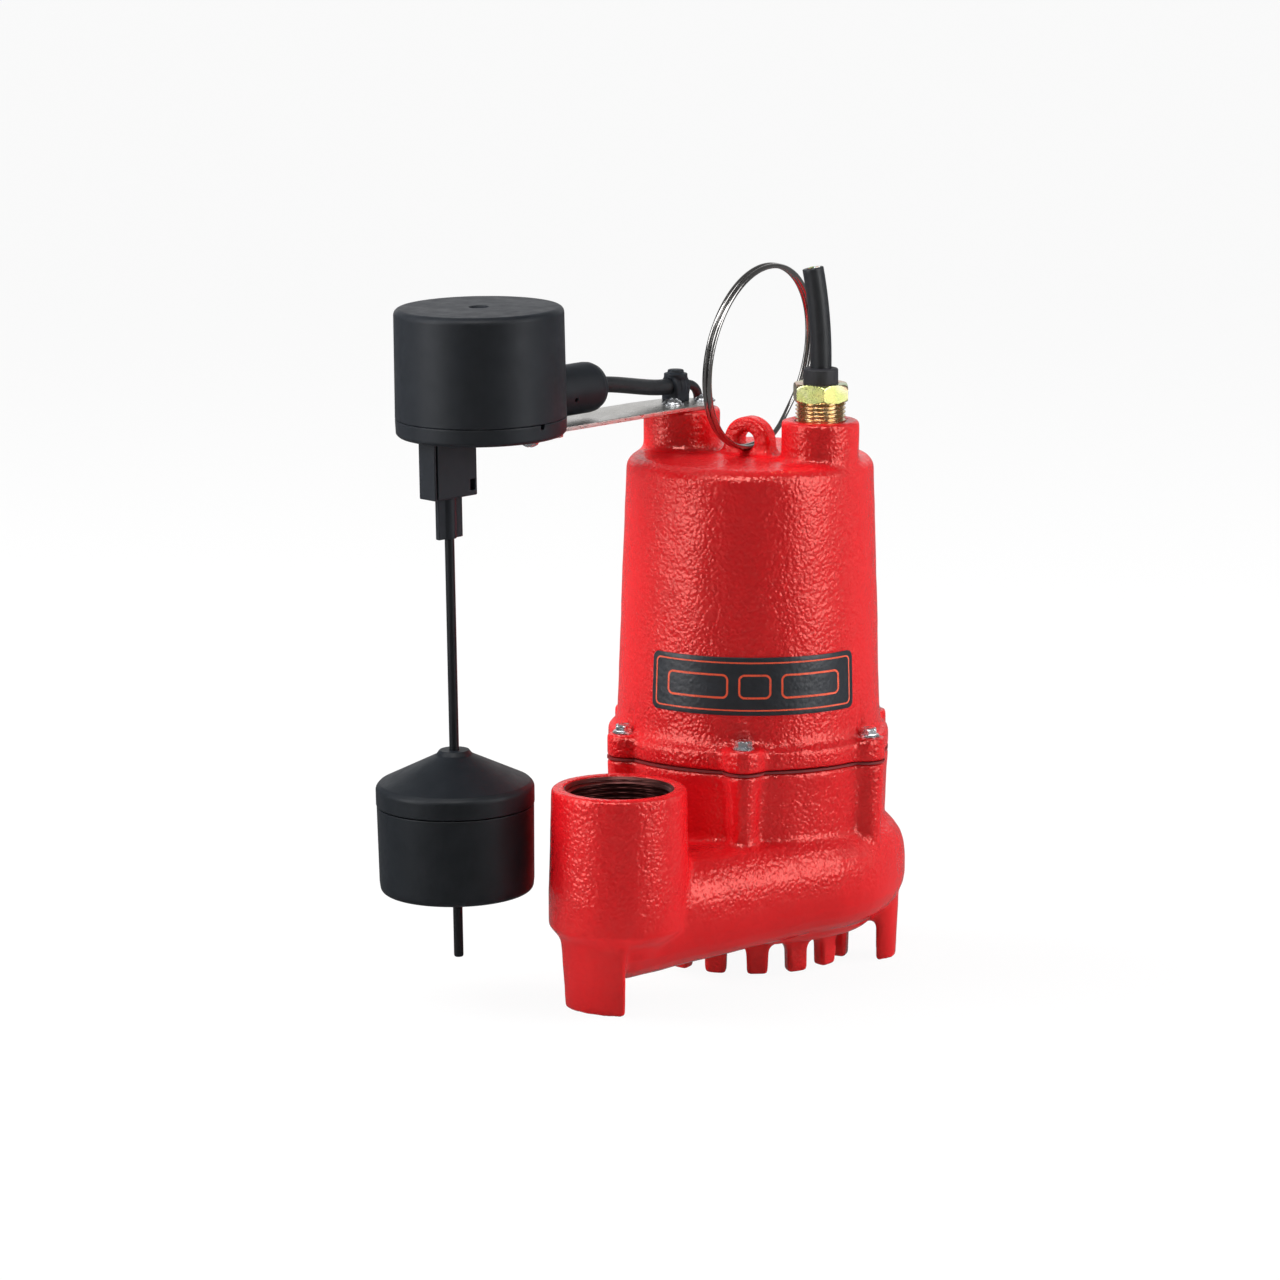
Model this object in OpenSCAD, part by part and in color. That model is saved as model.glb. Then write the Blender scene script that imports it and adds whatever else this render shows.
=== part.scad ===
// Submersible sump pump with a vertical float switch, in millimetres.
// Row frame: origin at the centre of the discharge mouth, +Z up. The motor
// shaft stands at Y = +port_y. The power cord boss is on the +X side of the
// shaft, and the float switch hangs from the boss on the -X side.
// The modules are drawn with the shaft on the Z axis and the floor at Z = 0,
// and row_frame() moves them to the row frame.

/* [Motor housing] */
// Outside radius of the housing just above its flange
housing_r_base = 60.2; // [59.8:0.1:60.8]
// Outside radius of the housing under its shoulder
housing_r_top = 56.3; // [55.5:0.1:57]
// Height of the housing's flat top above the floor
housing_top_z = 234; // [232:1:236]
// Radius of the two round top bosses
boss_r = 17.6; // [16.5:0.1:18]
// Height of the top bosses above the floor
boss_z = 252.5; // [251:0.5:253]
// Radius of the joint flange
flange_r = 64.3; // [63.8:0.1:65]

/* [Volute] */
// Distance from the motor shaft to the discharge axis
port_y = 108; // [106:0.5:110]
// Outside radius of the discharge riser at its mouth
riser_r = 30.1; // [29:0.1:31]
// Radius of the tapped discharge hole at its thread crests
port_r = 22; // [21.5:0.1:22.3]
// Pitch of the discharge thread
thread_pitch = 2.209; // [2:0.001:2.4]
// Radius of the centre line of the scroll
scroll_rho = 53.5; // [53:0.1:54]
// Outside radius of the scroll's round section
scroll_r = 19.3; // [19:0.1:19.5]
// Number of strainer teeth under the suction
tooth_count = 15; // [12:1:15]
// Outside radius of the strainer ring
strainer_r = 47.5; // [46.5:0.5:48]

/* [Fasteners] */
// Radius of the circle of flange screws
bolt_circle_r = 64.2; // [64:0.1:64.6]
// Number of flange screws
bolt_count = 6; // [6]
// Shank radius of a flange screw
bolt_r = 2.5; // [2.3:0.1:2.5]

/* [Float switch] */
// Direction of the bracket from its boss, in degrees from +X
strap_dir = 256.5; // [254:0.5:259]
// Distance along the bracket from its boss to the switch axis
switch_t = 122.9; // [121:0.1:124]
// Radius of the switch cap at its foot
switch_r = 38; // [37.5:0.1:38.5]
// Distance along the bracket from the switch axis to the float rod
rod_t = 20; // [19.5:0.1:20.4]
// Radius of the float rod
rod_r = 2.15; // [2:0.01:2.17]
// Radius of the float at its shoulder
float_r = 35.4; // [35:0.1:35.6]
// How far the bracket droops beyond the boss, in degrees
droop = 1.4; // [0:0.2:1.6]
// Radius of the switch cable
cable_r = 3.7; // [3.4:0.1:3.75]

/* [Motor] */
// Number of stator slots
slot_count = 24; // [18:6:24]
// Number of balls in each bearing
ball_count = 8; // [6:1:8]
// Number of impeller vanes
vane_count = 7; // [5:1:8]

/* [Hidden] */

red = [0.80, 0.07, 0.08];
black = [0.07, 0.07, 0.08];
steel = [0.72, 0.72, 0.70];

port_z = 98.5;              // height of the discharge mouth above the floor
gasket_z1 = port_z + 1;     // top of the flange gasket
flange_top = 109;           // top of the housing flange
boss_x = 37;                // top bosses stand at X = +37 and X = -37
ear_r = 7.4;                // flange ear around each screw
ear_root_r = 9.6;           // wider part of the ear, nearer the shaft
ear_root_x = 61.7;
screw_seat_z = 110;         // underside of the flange screw heads

shoulder_r = 6;             // rounding at the top of the housing
cone_z0 = flange_top + 6;   // the housing wall tapers between these heights
cone_z1 = housing_top_z - shoulder_r;

// ---------------------------------------------------------------- helpers

function mix(a, b, share) = a + (b - a) * share;
function clamp01(x) = min(max(x, 0), 1);
// Smooth step from 0 to 1
function ease(x) = x * x * (3 - 2 * x);
// Quarter circle from +X round to +Y, in the given number of steps
function quarter(x, y, r, steps) =
    [for (i = [0:steps]) let (a = 90 * i / steps) [x + r * cos(a), y + r * sin(a)]];

// Upright cylinder or cone standing at height z
module post(z, h, r, r_top) {
    translate([0, 0, z]) cylinder(h = h, r1 = r, r2 = is_undef(r_top) ? r : r_top);
}
// Cylinder that runs from a point toward +X
module bar_x(from, h, r) { translate(from) rotate([0, 90, 0]) cylinder(h = h, r = r); }
// Cylinder that runs from a point toward -Y
module bar_y(from, h, r) { translate(from) rotate([90, 0, 0]) cylinder(h = h, r = r); }
// Solid of revolution of a [radius, height] outline
module turned(outline) { rotate_extrude() polygon(outline); }
// Copies evenly spaced round the Z axis, moved out by x
module around(count, x = 0) {
    for (i = [0:count - 1]) rotate([0, 0, 360 / count * i]) translate([x, 0, 0]) children();
}

// Closed skin through a list of rings of points, all with the same count
module skin(rings, reversed = false) {
    n = len(rings[0]);
    last = len(rings) - 1;
    quads = [for (i = [0:last - 1]) for (k = [0:n - 1])
        [i * n + k, i * n + (k + 1) % n, (i + 1) * n + (k + 1) % n, (i + 1) * n + k]];
    faces = concat(
        [for (q = quads) [q[0], q[1], q[2]]],
        [for (q = quads) [q[0], q[2], q[3]]],
        [[for (k = [n - 1:-1:0]) k]],
        [[for (k = [0:n - 1]) last * n + k]]);
    polyhedron(
        points = [for (ring = rings) for (point = ring) point],
        faces = reversed ? [for (f = faces) [for (k = [len(f) - 1:-1:0]) f[k]]] : faces,
        convexity = 8);
}

// Tube along a list of points; r is its radius, or a list with one radius per point
module sweep(path, r, sides) {
    last = len(path) - 1;
    function radius(i) = is_list(r) ? r[i] : r;
    dirs = [for (i = [0:last])
        let (d = path[min(i + 1, last)] - path[max(i - 1, 0)]) d / norm(d)];
    ref = abs(dirs[0][2]) < 0.8 ? [0, 0, 1] : [1, 0, 0];
    // carry one side vector along the path, so the tube doesn't twist
    normals = [for (i = 0, s = ref - (ref * dirs[0]) * dirs[0]; i <= last;
        i = i + 1, s = i <= last ? s - (s * dirs[i]) * dirs[i] : s) s / norm(s)];
    rings = [for (i = [0:last]) let (across = normals[i], up = cross(dirs[i], across))
        [for (k = [0:sides - 1]) let (a = 360 * k / sides)
            path[i] + radius(i) * (cos(a) * across + sin(a) * up)]];
    skin(rings, reversed = true);
}

// ----------------------------------------------------------------- frames

bend_t = 18;                // where the bracket bends, just off its boss

// Moves a shape from the floor frame to the row frame
module row_frame() { translate([0, port_y, -port_z]) children(); }
// Bracket directions within the floor frame: origin on the -X boss, +X along the bracket
module from_boss() { translate([-boss_x, 0, 0]) rotate([0, 0, strap_dir]) children(); }
module strap_frame() { row_frame() from_boss() children(); }
// Tilts a shape in the bracket frame with the part of the bracket beyond its bend
module hang() {
    translate([bend_t, 0, boss_z]) rotate([0, droop, 0]) translate([-bend_t, 0, -boss_z])
        children();
}
// The same tilt for a point
function hung(point) = let (x = point[0] - bend_t, z = point[2] - boss_z)
    [bend_t + x * cos(droop) + z * sin(droop), point[1],
     boss_z - x * sin(droop) + z * cos(droop)];
// Frame on the switch axis, +X along the bracket, away from the boss
module switch_frame() { strap_frame() hang() translate([switch_t, 0, 0]) children(); }
// Frame on the float rod's axis
module rod_frame() { switch_frame() translate([rod_t, 0, 0]) children(); }

// Places of the flange screws, or of something else on their radii
module at_screws(x = bolt_circle_r) { around(bolt_count, x) children(); }
// Places of the two bracket screws, in the bracket's directions
module at_bracket_screws() { for (side = [-1, 1]) translate([side * 10, 4.5, 0]) children(); }
// Places of the two switch mounting screws, from the switch axis
module at_mounts() { for (side = [-1, 1]) translate([-10.8, side * 20, 0]) children(); }

// ---------------------------------------------------------------- castings

// Bearings, fitted in the castings and on the shaft
bearing_r = 17.5;
bearing_bore_r = 7.5;
bearing_h = 11;
upper_bearing_z = 206;
lower_bearing_z = 80.5;
bearing_seat_r = bearing_r + 0.03;

stator_r = 50;
joint_bore_r = 52;          // opening of the housing and gasket at the joint
entry_r = 11.4;             // thread radius of the cord connector

module motor_housing() {
    color(red) row_frame() difference() {
        union() {
            turned($fn = 96, concat(
                [[0, gasket_z1], [flange_r, gasket_z1], [flange_r, flange_top - 1.4],
                 [flange_r - 1.1, flange_top - 0.2], [housing_r_base + 1.9, flange_top + 0.3],
                 [housing_r_base + 0.8, flange_top + 1.8], [housing_r_base, cone_z0]],
                quarter(housing_r_top - shoulder_r, cone_z1, shoulder_r, 8),
                [[0, housing_top_z]]));
            // top bosses with chamfered rims
            for (side = [-1, 1]) translate([side * boss_x, 0, 0]) {
                post(z = 212, h = boss_z - 213, r = boss_r, $fn = 64);
                post(z = boss_z - 1, h = 1, r = boss_r, r_top = boss_r - 0.8, $fn = 64);
            }
            // lifting lug
            translate([0, 4.5, 0]) rotate([90, 0, 0]) linear_extrude(9) {
                translate([0, 239]) circle(r = 12, $fn = 48);
                translate([-12, 224]) square([24, 15]);
            }
            // screw ears
            at_screws() post(z = gasket_z1, h = 10.5, r = ear_r, $fn = 48);
            at_screws(ear_root_x) post(z = gasket_z1, h = 9.2, r = ear_root_r, $fn = 48);
        }
        // motor chamber, with the upper bearing hub left standing
        turned($fn = 96, [[0, 90], [joint_bore_r, 90], [joint_bore_r, 117],
            [stator_r + 0.05, 118.5], [stator_r + 0.05, 190], [48, 192], [48, 214],
            [43, 219], [23.5, 219], [22, 217.5], [22, 205], [0, 205]]);
        // upper bearing seat, and the shaft end's clearance above it
        post(z = 200, h = upper_bearing_z + bearing_h - 200, r = bearing_seat_r, $fn = 64);
        post(z = 210, h = 12, r = 9.5, $fn = 48);
        // lug eye
        bar_y([0, 10, 240], h = 20, r = 4.4, $fn = 40);
        // cord entry, wider at the top for the connector
        translate([boss_x, 0, 0]) {
            post(z = 213, h = 30, r = 8.2, $fn = 48);
            post(z = 239, h = 20, r = entry_r + 0.05, $fn = 48);
        }
        from_boss() at_bracket_screws() post(z = 238, h = 20, r = 2.35, $fn = 32);
        // flange screw holes and counterbores
        at_screws() {
            post(z = 90, h = 25, r = bolt_r + 0.25, $fn = 32);
            post(z = screw_seat_z, h = 12, r = 5.3, $fn = 40);
        }
    }
}

// Scroll and neck: the neck runs from the discharge axis to where it meets the
// scroll's centre line, and the scroll winds on from there to its tongue.
scroll_z = 41;              // height of the round section's centre where the scroll starts
scroll_tongue_z = 44;       // the same at the tongue
scroll_h = 27;              // height of the outer section above its centre, at the start
passage_r = 14.1;           // radius of the water passage at the start
tangent_a = -90 + acos(scroll_rho / port_y);   // where the neck leaves the scroll
scroll_end_a = 252;
neck_len = sqrt(port_y * port_y - scroll_rho * scroll_rho);
scroll_steps = 34;
scroll_angles = [for (i = [0:scroll_steps]) mix(tangent_a, scroll_end_a, i / scroll_steps)];
neck_shares = [for (i = [0:4]) i / 5];

// How far the scroll has wound in at angle a: 0 near the neck, 1 at its tongue
function wound(a) = ease(clamp01((a - 45) / 205));

// Outside section [across, height] of the scroll and neck: round below, a sloping
// shoulder above. r is the half width, zc the height of the round part's centre,
// h the height above it.
function outer_section(r, zc, h) = concat(
    [for (i = [0:12]) let (a = -180 + 15 * i) [r * cos(a), zc + r * sin(a)]],
    [[r, zc + 0.28 * h], [0.98 * r, zc + 0.45 * h], [0.9 * r, zc + 0.63 * h],
     [0.74 * r, zc + 0.8 * h], [0.55 * r, zc + 0.935 * h], [0.12 * r, zc + h],
     [-0.8 * r, zc + h], [-r, zc + 0.7 * h]]);
function round_section(r, zc) =
    [for (i = [0:15]) [r * cos(22.5 * i), zc + r * sin(22.5 * i)]];

// Solid through one section for each of neck_shares, then each of scroll_angles
module scroll_skin(neck_sections, scroll_sections) {
    out = [cos(tangent_a), sin(tangent_a)];
    toward_port = [out[1], -out[0]];
    skin(concat(
        [for (i = [0:len(neck_shares) - 1])
            let (p = neck_len * (1 - neck_shares[i]) * toward_port + scroll_rho * out)
            [for (q = neck_sections[i]) [p[0] + q[0] * out[0], p[1] + q[0] * out[1], q[1]]]],
        [for (i = [0:scroll_steps])
            let (a = scroll_angles[i], rho = scroll_rho - 6 * wound(a))
            [for (q = scroll_sections[i]) [(rho + q[0]) * cos(a), (rho + q[0]) * sin(a), q[1]]]]));
}

module scroll_outside() {
    scroll_skin(
        [for (u = neck_shares)
            outer_section(mix(24.4, scroll_r, u), mix(36, scroll_z, u), mix(28.5, scroll_h, u))],
        [for (a = scroll_angles) let (w = wound(a))
            outer_section(scroll_r - 6.5 * w, mix(scroll_z, scroll_tongue_z, w),
                mix(scroll_h, 19, w))]);
}

module scroll_passage() {
    scroll_skin(
        [for (u = neck_shares) round_section(mix(17.6, passage_r, u), mix(39, scroll_z, u))],
        [for (a = scroll_angles) let (w = wound(a))
            round_section(mix(passage_r, 8.5, w), mix(scroll_z, scroll_tongue_z, w))]);
}

// Curved foot beside the suction, hollow toward the shaft
module foot() {
    translate([58.6, 0, 0]) rotate([0, 0, -80]) rotate_extrude(angle = 160, $fn = 64)
        polygon([[6.4, 0], [10.6, 0], [11.6, 34], [11.6, 44], [6.4, 44]]);
}

module riser() {
    turned($fn = 80, [[0, 12.2], [8, 13.4], [16, 17.8], [22, 24.5], [25.5, 31], [28.4, 33.2],
        [31.2, 36.5], [31.4, 52], [riser_r, port_z - 0.8], [riser_r - 0.8, port_z],
        [0, port_z]]);
    // foot under the riser
    rotate([0, 0, 230]) rotate_extrude(angle = 80, $fn = 80)
        polygon([[21, 0], [25.2, 0], [27.4, 34], [21, 36]]);
}

// Everything cut from the riser: elbow, plain bore and tapped mouth
module riser_bore() {
    translate([0, 0, 40]) sphere(r = 19, $fn = 64);
    post(z = 40, h = 34, r = 18.8, $fn = 64);
    post(z = 72, h = 40, r = port_r, $fn = 80);
    post(z = port_z - 0.45, h = 0.5, r = port_r, r_top = port_r + 2.1, $fn = 80);
    // thread roots, as separate rings
    for (i = [0:8]) translate([0, 0, port_z - 2 - i * thread_pitch])
        turned($fn = 80, [[port_r - 0.4, -1.02], [port_r + 1.6, -0.1], [port_r + 1.6, 0.1],
            [port_r - 0.4, 1.02]]);
}

// Arched gaps between the strainer teeth
module strainer_gaps() {
    gap_r = 4.5;
    rotate([0, 0, 20 + 180 / tooth_count]) around(tooth_count, strainer_r + 4)
        rotate([90, 0, -90]) linear_extrude(14) {
            polygon([[-4.9, -1], [4.9, -1], [gap_r, 11.8], [-gap_r, 11.8]]);
            translate([0, 11.6]) circle(r = gap_r, $fn = 32);
        }
}

module volute_casing() {
    color(red) row_frame() difference() {
        union() {
            turned($fn = 96, [[0, 18], [56, 18], [59.5, 21], [61, 30], [61.6, 60], [62.8, 66],
                [63.9, 90], [flange_r, 95], [flange_r, port_z], [0, port_z]]);
            scroll_outside();
            translate([0, -port_y, 0]) riser();
            for (a = [30, 150]) rotate([0, 0, a]) foot();
            // screw bosses
            at_screws() post(z = 50, h = port_z - 50, r = 5.2, r_top = ear_r, $fn = 48);
            at_screws(ear_root_x)
                post(z = 86, h = port_z - 86, r = 7, r_top = ear_root_r, $fn = 48);
            // strainer ring
            post(z = 1.5, h = 20, r = strainer_r, $fn = 72);
        }
        // inside of the strainer ring, and the suction eye
        post(z = -1, h = 19, r = strainer_r - 7.5, $fn = 72);
        post(z = 10, h = 20, r = 20, $fn = 64);
        strainer_gaps();
        // impeller chamber and the seat of the seal plate
        post(z = 24, h = 60, r = 45, $fn = 80);
        post(z = 62, h = 60, r = 54, $fn = 80);
        post(z = 94.5, h = 20, r = 57.5, $fn = 80);
        scroll_passage();
        translate([0, -port_y, 0]) riser_bore();
        // tapped screw holes
        at_screws() post(z = 78, h = 30, r = bolt_r + 0.03, $fn = 32);
    }
}

module flange_gasket() {
    // a hundredth short of the gap on each side
    thickness = 0.98;
    color(black) row_frame() translate([0, 0, port_z + 0.01]) difference() {
        union() {
            cylinder(h = thickness, r = flange_r, $fn = 96);
            at_screws() cylinder(h = thickness, r = ear_r, $fn = 48);
            at_screws(ear_root_x) cylinder(h = thickness, r = ear_root_r, $fn = 48);
        }
        post(z = -1, h = 3, r = joint_bore_r, $fn = 80);
        at_screws() post(z = -1, h = 3, r = bolt_r + 0.4, $fn = 32);
    }
}

module flange_screws() {
    head_r = 4.9;
    // each hexagon is turned a little further than the last
    color(steel) row_frame() for (i = [0:bolt_count - 1]) rotate([0, 0, 360 / bolt_count * i])
        translate([bolt_circle_r, 0, 0]) rotate([0, 0, 17 * i]) {
            post(z = 80, h = 31, r = bolt_r, $fn = 32);
            post(z = screw_seat_z, h = 0.8, r = head_r, $fn = 40);
            post(z = screw_seat_z + 0.8, h = 0.7, r = head_r, r_top = 4.1, $fn = 40);
            post(z = screw_seat_z + 1, h = 3.1, r = 3.9, $fn = 6);
        }
}

// Plain rounded badge, wrapped on the housing's cone
module nameplate() {
    half_a = 50;            // half the angle it spans
    z0 = 124.4;
    height = 26.2;
    z1 = z0 + height;
    corner_r = 3;
    end_r = corner_r + 0.3;
    gap = 0.02;
    outside = gap + 0.5;
    function wall(z) = mix(housing_r_base, housing_r_top, (z - cone_z0) / (cone_z1 - cone_z0));
    color([0.09, 0.11, 0.14]) row_frame() rotate([0, 0, 304.5]) intersection() {
        rotate([0, 0, -half_a]) rotate_extrude(angle = 2 * half_a, $fn = 96)
            polygon([[wall(z0) + gap, z0], [wall(z0) + outside, z0],
                [wall(z1) + outside, z1], [wall(z1) + gap, z1]]);
        // outline: a wide middle and two round-cornered ends
        union() {
            rotate([0, 0, -half_a + 3]) rotate_extrude(angle = 2 * half_a - 6, $fn = 96)
                translate([50, z0 - 1]) square([20, height + 2]);
            for (side = [-1, 1]) rotate([0, 0, side * (half_a - 3.2)]) rotate([0, 90, 0])
                translate([0, 0, 40]) {
                    for (z = [z0 + corner_r, z1 - corner_r]) translate([-z, 0, 0])
                        cylinder(h = 30, r = end_r, $fn = 32);
                    translate([corner_r - z1, -end_r, 0])
                        cube([height - 2 * corner_r, 2 * end_r, 30]);
                }
        }
    }
}

seal_seat_r = 15;

module seal_plate() {
    bore_r = seal_seat_r + 0.05;
    bearing_floor_z = lower_bearing_z - 0.1;
    color([0.45, 0.45, 0.47]) row_frame() turned($fn = 96, [[bore_r, 62], [53.9, 62],
        [53.9, 94.6], [57.4, 94.6], [57.4, port_z], [48.5, port_z], [48.5, 72], [46.5, 69.5],
        [26.5, 69.5], [24.5, 71.5], [24.5, 92], [bearing_seat_r, 92],
        [bearing_seat_r, bearing_floor_z], [8.3, bearing_floor_z], [8.3, 68.1],
        [bore_r, 68.1]]);
}

// ------------------------------------------------------------------- motor

stack_z = 122;              // foot of the stator and rotor stacks
stack_h = 65;
slot_x = 36;                // radius of the circle of slots
shaft_r = 9;                // shaft through the rotor
impeller_shaft_r = 6;
shaft_tip_r = 4;            // threaded end under the impeller

module stator_core() {
    color([0.50, 0.50, 0.53]) row_frame() translate([0, 0, stack_z]) difference() {
        cylinder(h = stack_h, r = stator_r, $fn = 96);
        post(z = -1, h = stack_h + 2, r = 28, $fn = 80);
        // round slots, and their narrow mouths
        around(slot_count, slot_x) post(z = -1, h = stack_h + 2, r = 3, $fn = 24);
        around(slot_count) translate([26, -0.7, -1]) cube([9, 1.4, stack_h + 2]);
    }
}

module stator_windings() {
    color([0.72, 0.40, 0.16]) row_frame() {
        // end turns below and above the stack
        for (z = [108, 187.2]) translate([0, 0, z])
            turned($fn = 72, [[33, 0], [44, 0], [46.5, 2.5], [46.5, 11], [44, 13.8],
                [34, 13.8], [31.5, 11], [31.5, 2]]);
        around(slot_count, slot_x) post(z = stack_z - 1, h = stack_h + 2, r = 2.85, $fn = 24);
    }
}

module thermal_protector() {
    color([0.20, 0.20, 0.22]) row_frame() translate([-39, 0, 201.1]) {
        cylinder(h = 4.5, r = 7, $fn = 40);
        cylinder(h = 6, r = 5.2, $fn = 40);
    }
}

// Three wires that spread in Y as they come down from the cord
module lead_wires() {
    colors = [[0.1, 0.1, 0.1], [0.9, 0.9, 0.9], [0.1, 0.5, 0.2]];
    for (i = [-1:1]) color(colors[i + 1]) row_frame()
        sweep([for (k = [0:12]) let (u = k / 12)
            [boss_x + 2.2 * pow(sin(180 * u), 2), i * (2.4 + 7 * ease(u)), 224.85 - 23.5 * u]],
            r = 1.1, sides = 8);
}

module rotor_core() {
    color([0.58, 0.58, 0.60]) row_frame() translate([0, 0, stack_z]) difference() {
        cylinder(h = stack_h, r = 27.6, $fn = 80);
        post(z = -1, h = stack_h + 2, r = shaft_r, $fn = 48);
    }
}

module rotor_end_rings() {
    ring_h = 8;
    // each row is [foot of the ring, foot of its fins above that]
    rings = [[stack_z - ring_h, -4], [stack_z + stack_h, ring_h - 0.1]];
    color([0.78, 0.78, 0.80]) row_frame() for (ring = rings)
        translate([0, 0, ring[0]]) difference() {
            union() {
                cylinder(h = ring_h, r = 26.8, $fn = 80);
                around(8) translate([20, -1, ring[1]]) cube([6, 2, 4.1]);
            }
            post(z = -6, h = 24, r = 14, $fn = 48);
        }
}

module motor_shaft() {
    journal_r = bearing_bore_r - 0.01;
    body_r = shaft_r - 0.01;
    body_z0 = lower_bearing_z + bearing_h + 0.1;
    body_z1 = upper_bearing_z - 0.1;
    color([0.68, 0.68, 0.70]) row_frame() turned($fn = 64, [[0, 17], [3.5, 17],
        [shaft_tip_r, 17.5], [shaft_tip_r, 27], [impeller_shaft_r, 27], [impeller_shaft_r, 69],
        [journal_r, 69], [journal_r, body_z0], [body_r, body_z0], [body_r, body_z1],
        [journal_r, body_z1], [journal_r, 218], [7, 218.5], [0, 218.5]]);
}

race_wall = 3.1;
ball_pitch_r = (bearing_bore_r + bearing_r) / 2;

// Bearing race with its foot at z and its bore of radius r, grooved for the balls
module race(z, r) {
    color(steel) row_frame() translate([0, 0, z]) rotate_extrude($fn = 72) difference() {
        translate([r, 0]) square([race_wall, bearing_h]);
        translate([ball_pitch_r, bearing_h / 2]) circle(r = 3, $fn = 40);
    }
}
module outer_race(z) { race(z, bearing_r - race_wall); }
module inner_race(z) { race(z, bearing_bore_r); }

module balls(z) {
    color([0.8, 0.8, 0.82]) row_frame() translate([0, 0, z + bearing_h / 2])
        around(ball_count, ball_pitch_r) sphere(r = 2.94, $fn = 32);
}

module ball_cage(z) {
    color([0.70, 0.60, 0.35]) row_frame() translate([0, 0, z + bearing_h / 2]) difference() {
        post(z = -4.4, h = 5.2, r = ball_pitch_r + 1, $fn = 72);
        post(z = -6, h = 9, r = ball_pitch_r - 1, $fn = 72);
        around(ball_count, ball_pitch_r) sphere(r = 3.02, $fn = 32);
    }
}

module upper_bearing_outer_race() { outer_race(upper_bearing_z); }
module upper_bearing_inner_race() { inner_race(upper_bearing_z); }
module upper_bearing_balls() { balls(upper_bearing_z); }
module upper_bearing_cage() { ball_cage(upper_bearing_z); }
module lower_bearing_outer_race() { outer_race(lower_bearing_z); }
module lower_bearing_inner_race() { inner_race(lower_bearing_z); }
module lower_bearing_balls() { balls(lower_bearing_z); }
module lower_bearing_cage() { ball_cage(lower_bearing_z); }

module seal_seat() {
    color([0.92, 0.91, 0.86]) row_frame() translate([0, 0, 62.1]) difference() {
        cylinder(h = 5.9, r = seal_seat_r, $fn = 64);
        post(z = -1, h = 8, r = 7.2, $fn = 48);
    }
}

module seal_head() {
    color([0.13, 0.13, 0.14]) row_frame() difference() {
        union() {
            post(z = 55.6, h = 4.4, r = 12, $fn = 56);
            post(z = 59.9, h = 2.15, r = 10.2, $fn = 56);
        }
        post(z = 50, h = 20, r = impeller_shaft_r + 0.02, $fn = 48);
    }
}

module seal_spring() {
    coil_r = 8.6;
    steps = 90;
    color([0.75, 0.75, 0.76]) row_frame()
        sweep([for (k = [0:steps])
            [coil_r * cos(14 * k), coil_r * sin(14 * k), 50.7 + 4.2 * k / steps]],
            r = 0.5, sides = 8);
}

// One backward curved vane, from radius 11 to 40
module vane() {
    steps = 8;
    half_t = 1.3;
    function edge(i, off) = let (r = 11 + 29 * i / steps, a = -62 * i / steps)
        [r * cos(a) + off * cos(a + 55), r * sin(a) + off * sin(a + 55)];
    linear_extrude(19.1) polygon(concat(
        [for (i = [0:steps]) edge(i, half_t)], [for (i = [steps:-1:0]) edge(i, -half_t)]));
}

module impeller() {
    color([0.72, 0.56, 0.30]) row_frame() difference() {
        union() {
            post(z = 46, h = 4, r = 41, $fn = 80);
            post(z = 27.05, h = 20, r = 12, $fn = 56);
            translate([0, 0, 27]) around(vane_count) vane();
        }
        post(z = 20, h = 40, r = impeller_shaft_r + 0.01, $fn = 48);
    }
}

module impeller_nut() {
    color(steel) row_frame() difference() {
        union() {
            post(z = 25.6, h = 1.4, r = 8.2, $fn = 48);
            post(z = 20, h = 6, r = 7, $fn = 6);
        }
        post(z = 10, h = 30, r = shaft_tip_r + 0.01, $fn = 32);
    }
}

// -------------------------------------------------------------- cord entry

cord_r = 4.8;
grommet_r = 7.9;
grommet_bore_r = grommet_r + 0.05;      // hole for the grommet in the connector and nut
nut_thread_r = 9.5;                     // top of the connector, inside the gland nut
nut_z = 261.05;

module cord_frame() { row_frame() translate([boss_x, 0, 0]) children(); }

module cord_connector() {
    color([0.80, 0.66, 0.32]) cord_frame() difference() {
        union() {
            post(z = 240, h = 12.5, r = entry_r, $fn = 56);
            post(z = 252.4, h = 8.6, r = entry_r, $fn = 56);
            post(z = 260, h = 6.5, r = nut_thread_r, $fn = 56);
        }
        // visible thread roots
        for (i = [0:3]) translate([0, 0, 253.8 + 1.8 * i])
            turned($fn = 56, [[10.5, -0.08], [11.6, -0.85], [11.6, 0.85], [10.5, 0.08]]);
        post(z = 230, h = 40, r = 5, $fn = 40);
        post(z = 255, h = 20, r = grommet_bore_r, $fn = 48);
    }
}

module gland_nut() {
    color([0.75, 0.72, 0.30]) cord_frame() difference() {
        intersection() {
            rotate([0, 0, 8]) post(z = nut_z, h = 8.2, r = 13.4, $fn = 6);
            // chamfered corners
            translate([0, 0, nut_z]) turned($fn = 56, [[0, 0], [12.4, 0], [13.5, 0.8],
                [13.5, 7.2], [12.2, 8.2], [0, 8.2]]);
        }
        post(z = 250, h = 16.6, r = nut_thread_r + 0.05, $fn = 56);
        post(z = 260, h = 20, r = grommet_bore_r, $fn = 48);
    }
}

module cord_grommet() {
    color(black) cord_frame() difference() {
        turned($fn = 48, [[0, 255.1], [grommet_r, 255.1], [grommet_r, 273.8], [7.2, 275.6],
            [6.2, 276.2], [0, 276.2]]);
        post(z = 250, h = 40, r = cord_r + 0.02, $fn = 40);
    }
}

// Straight up through the gland, then leaning toward -X and -Y
module power_cord() {
    color(black) row_frame() sweep(concat(
        [for (z = [225, 240, 262, 278]) [boss_x, 0, z]],
        [for (k = [1:12]) let (u = k / 12)
            [boss_x - 3.4 * u * u, -2.2 * u * u, 278 + 43 * u]]),
        r = cord_r, sides = 24);
}

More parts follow.
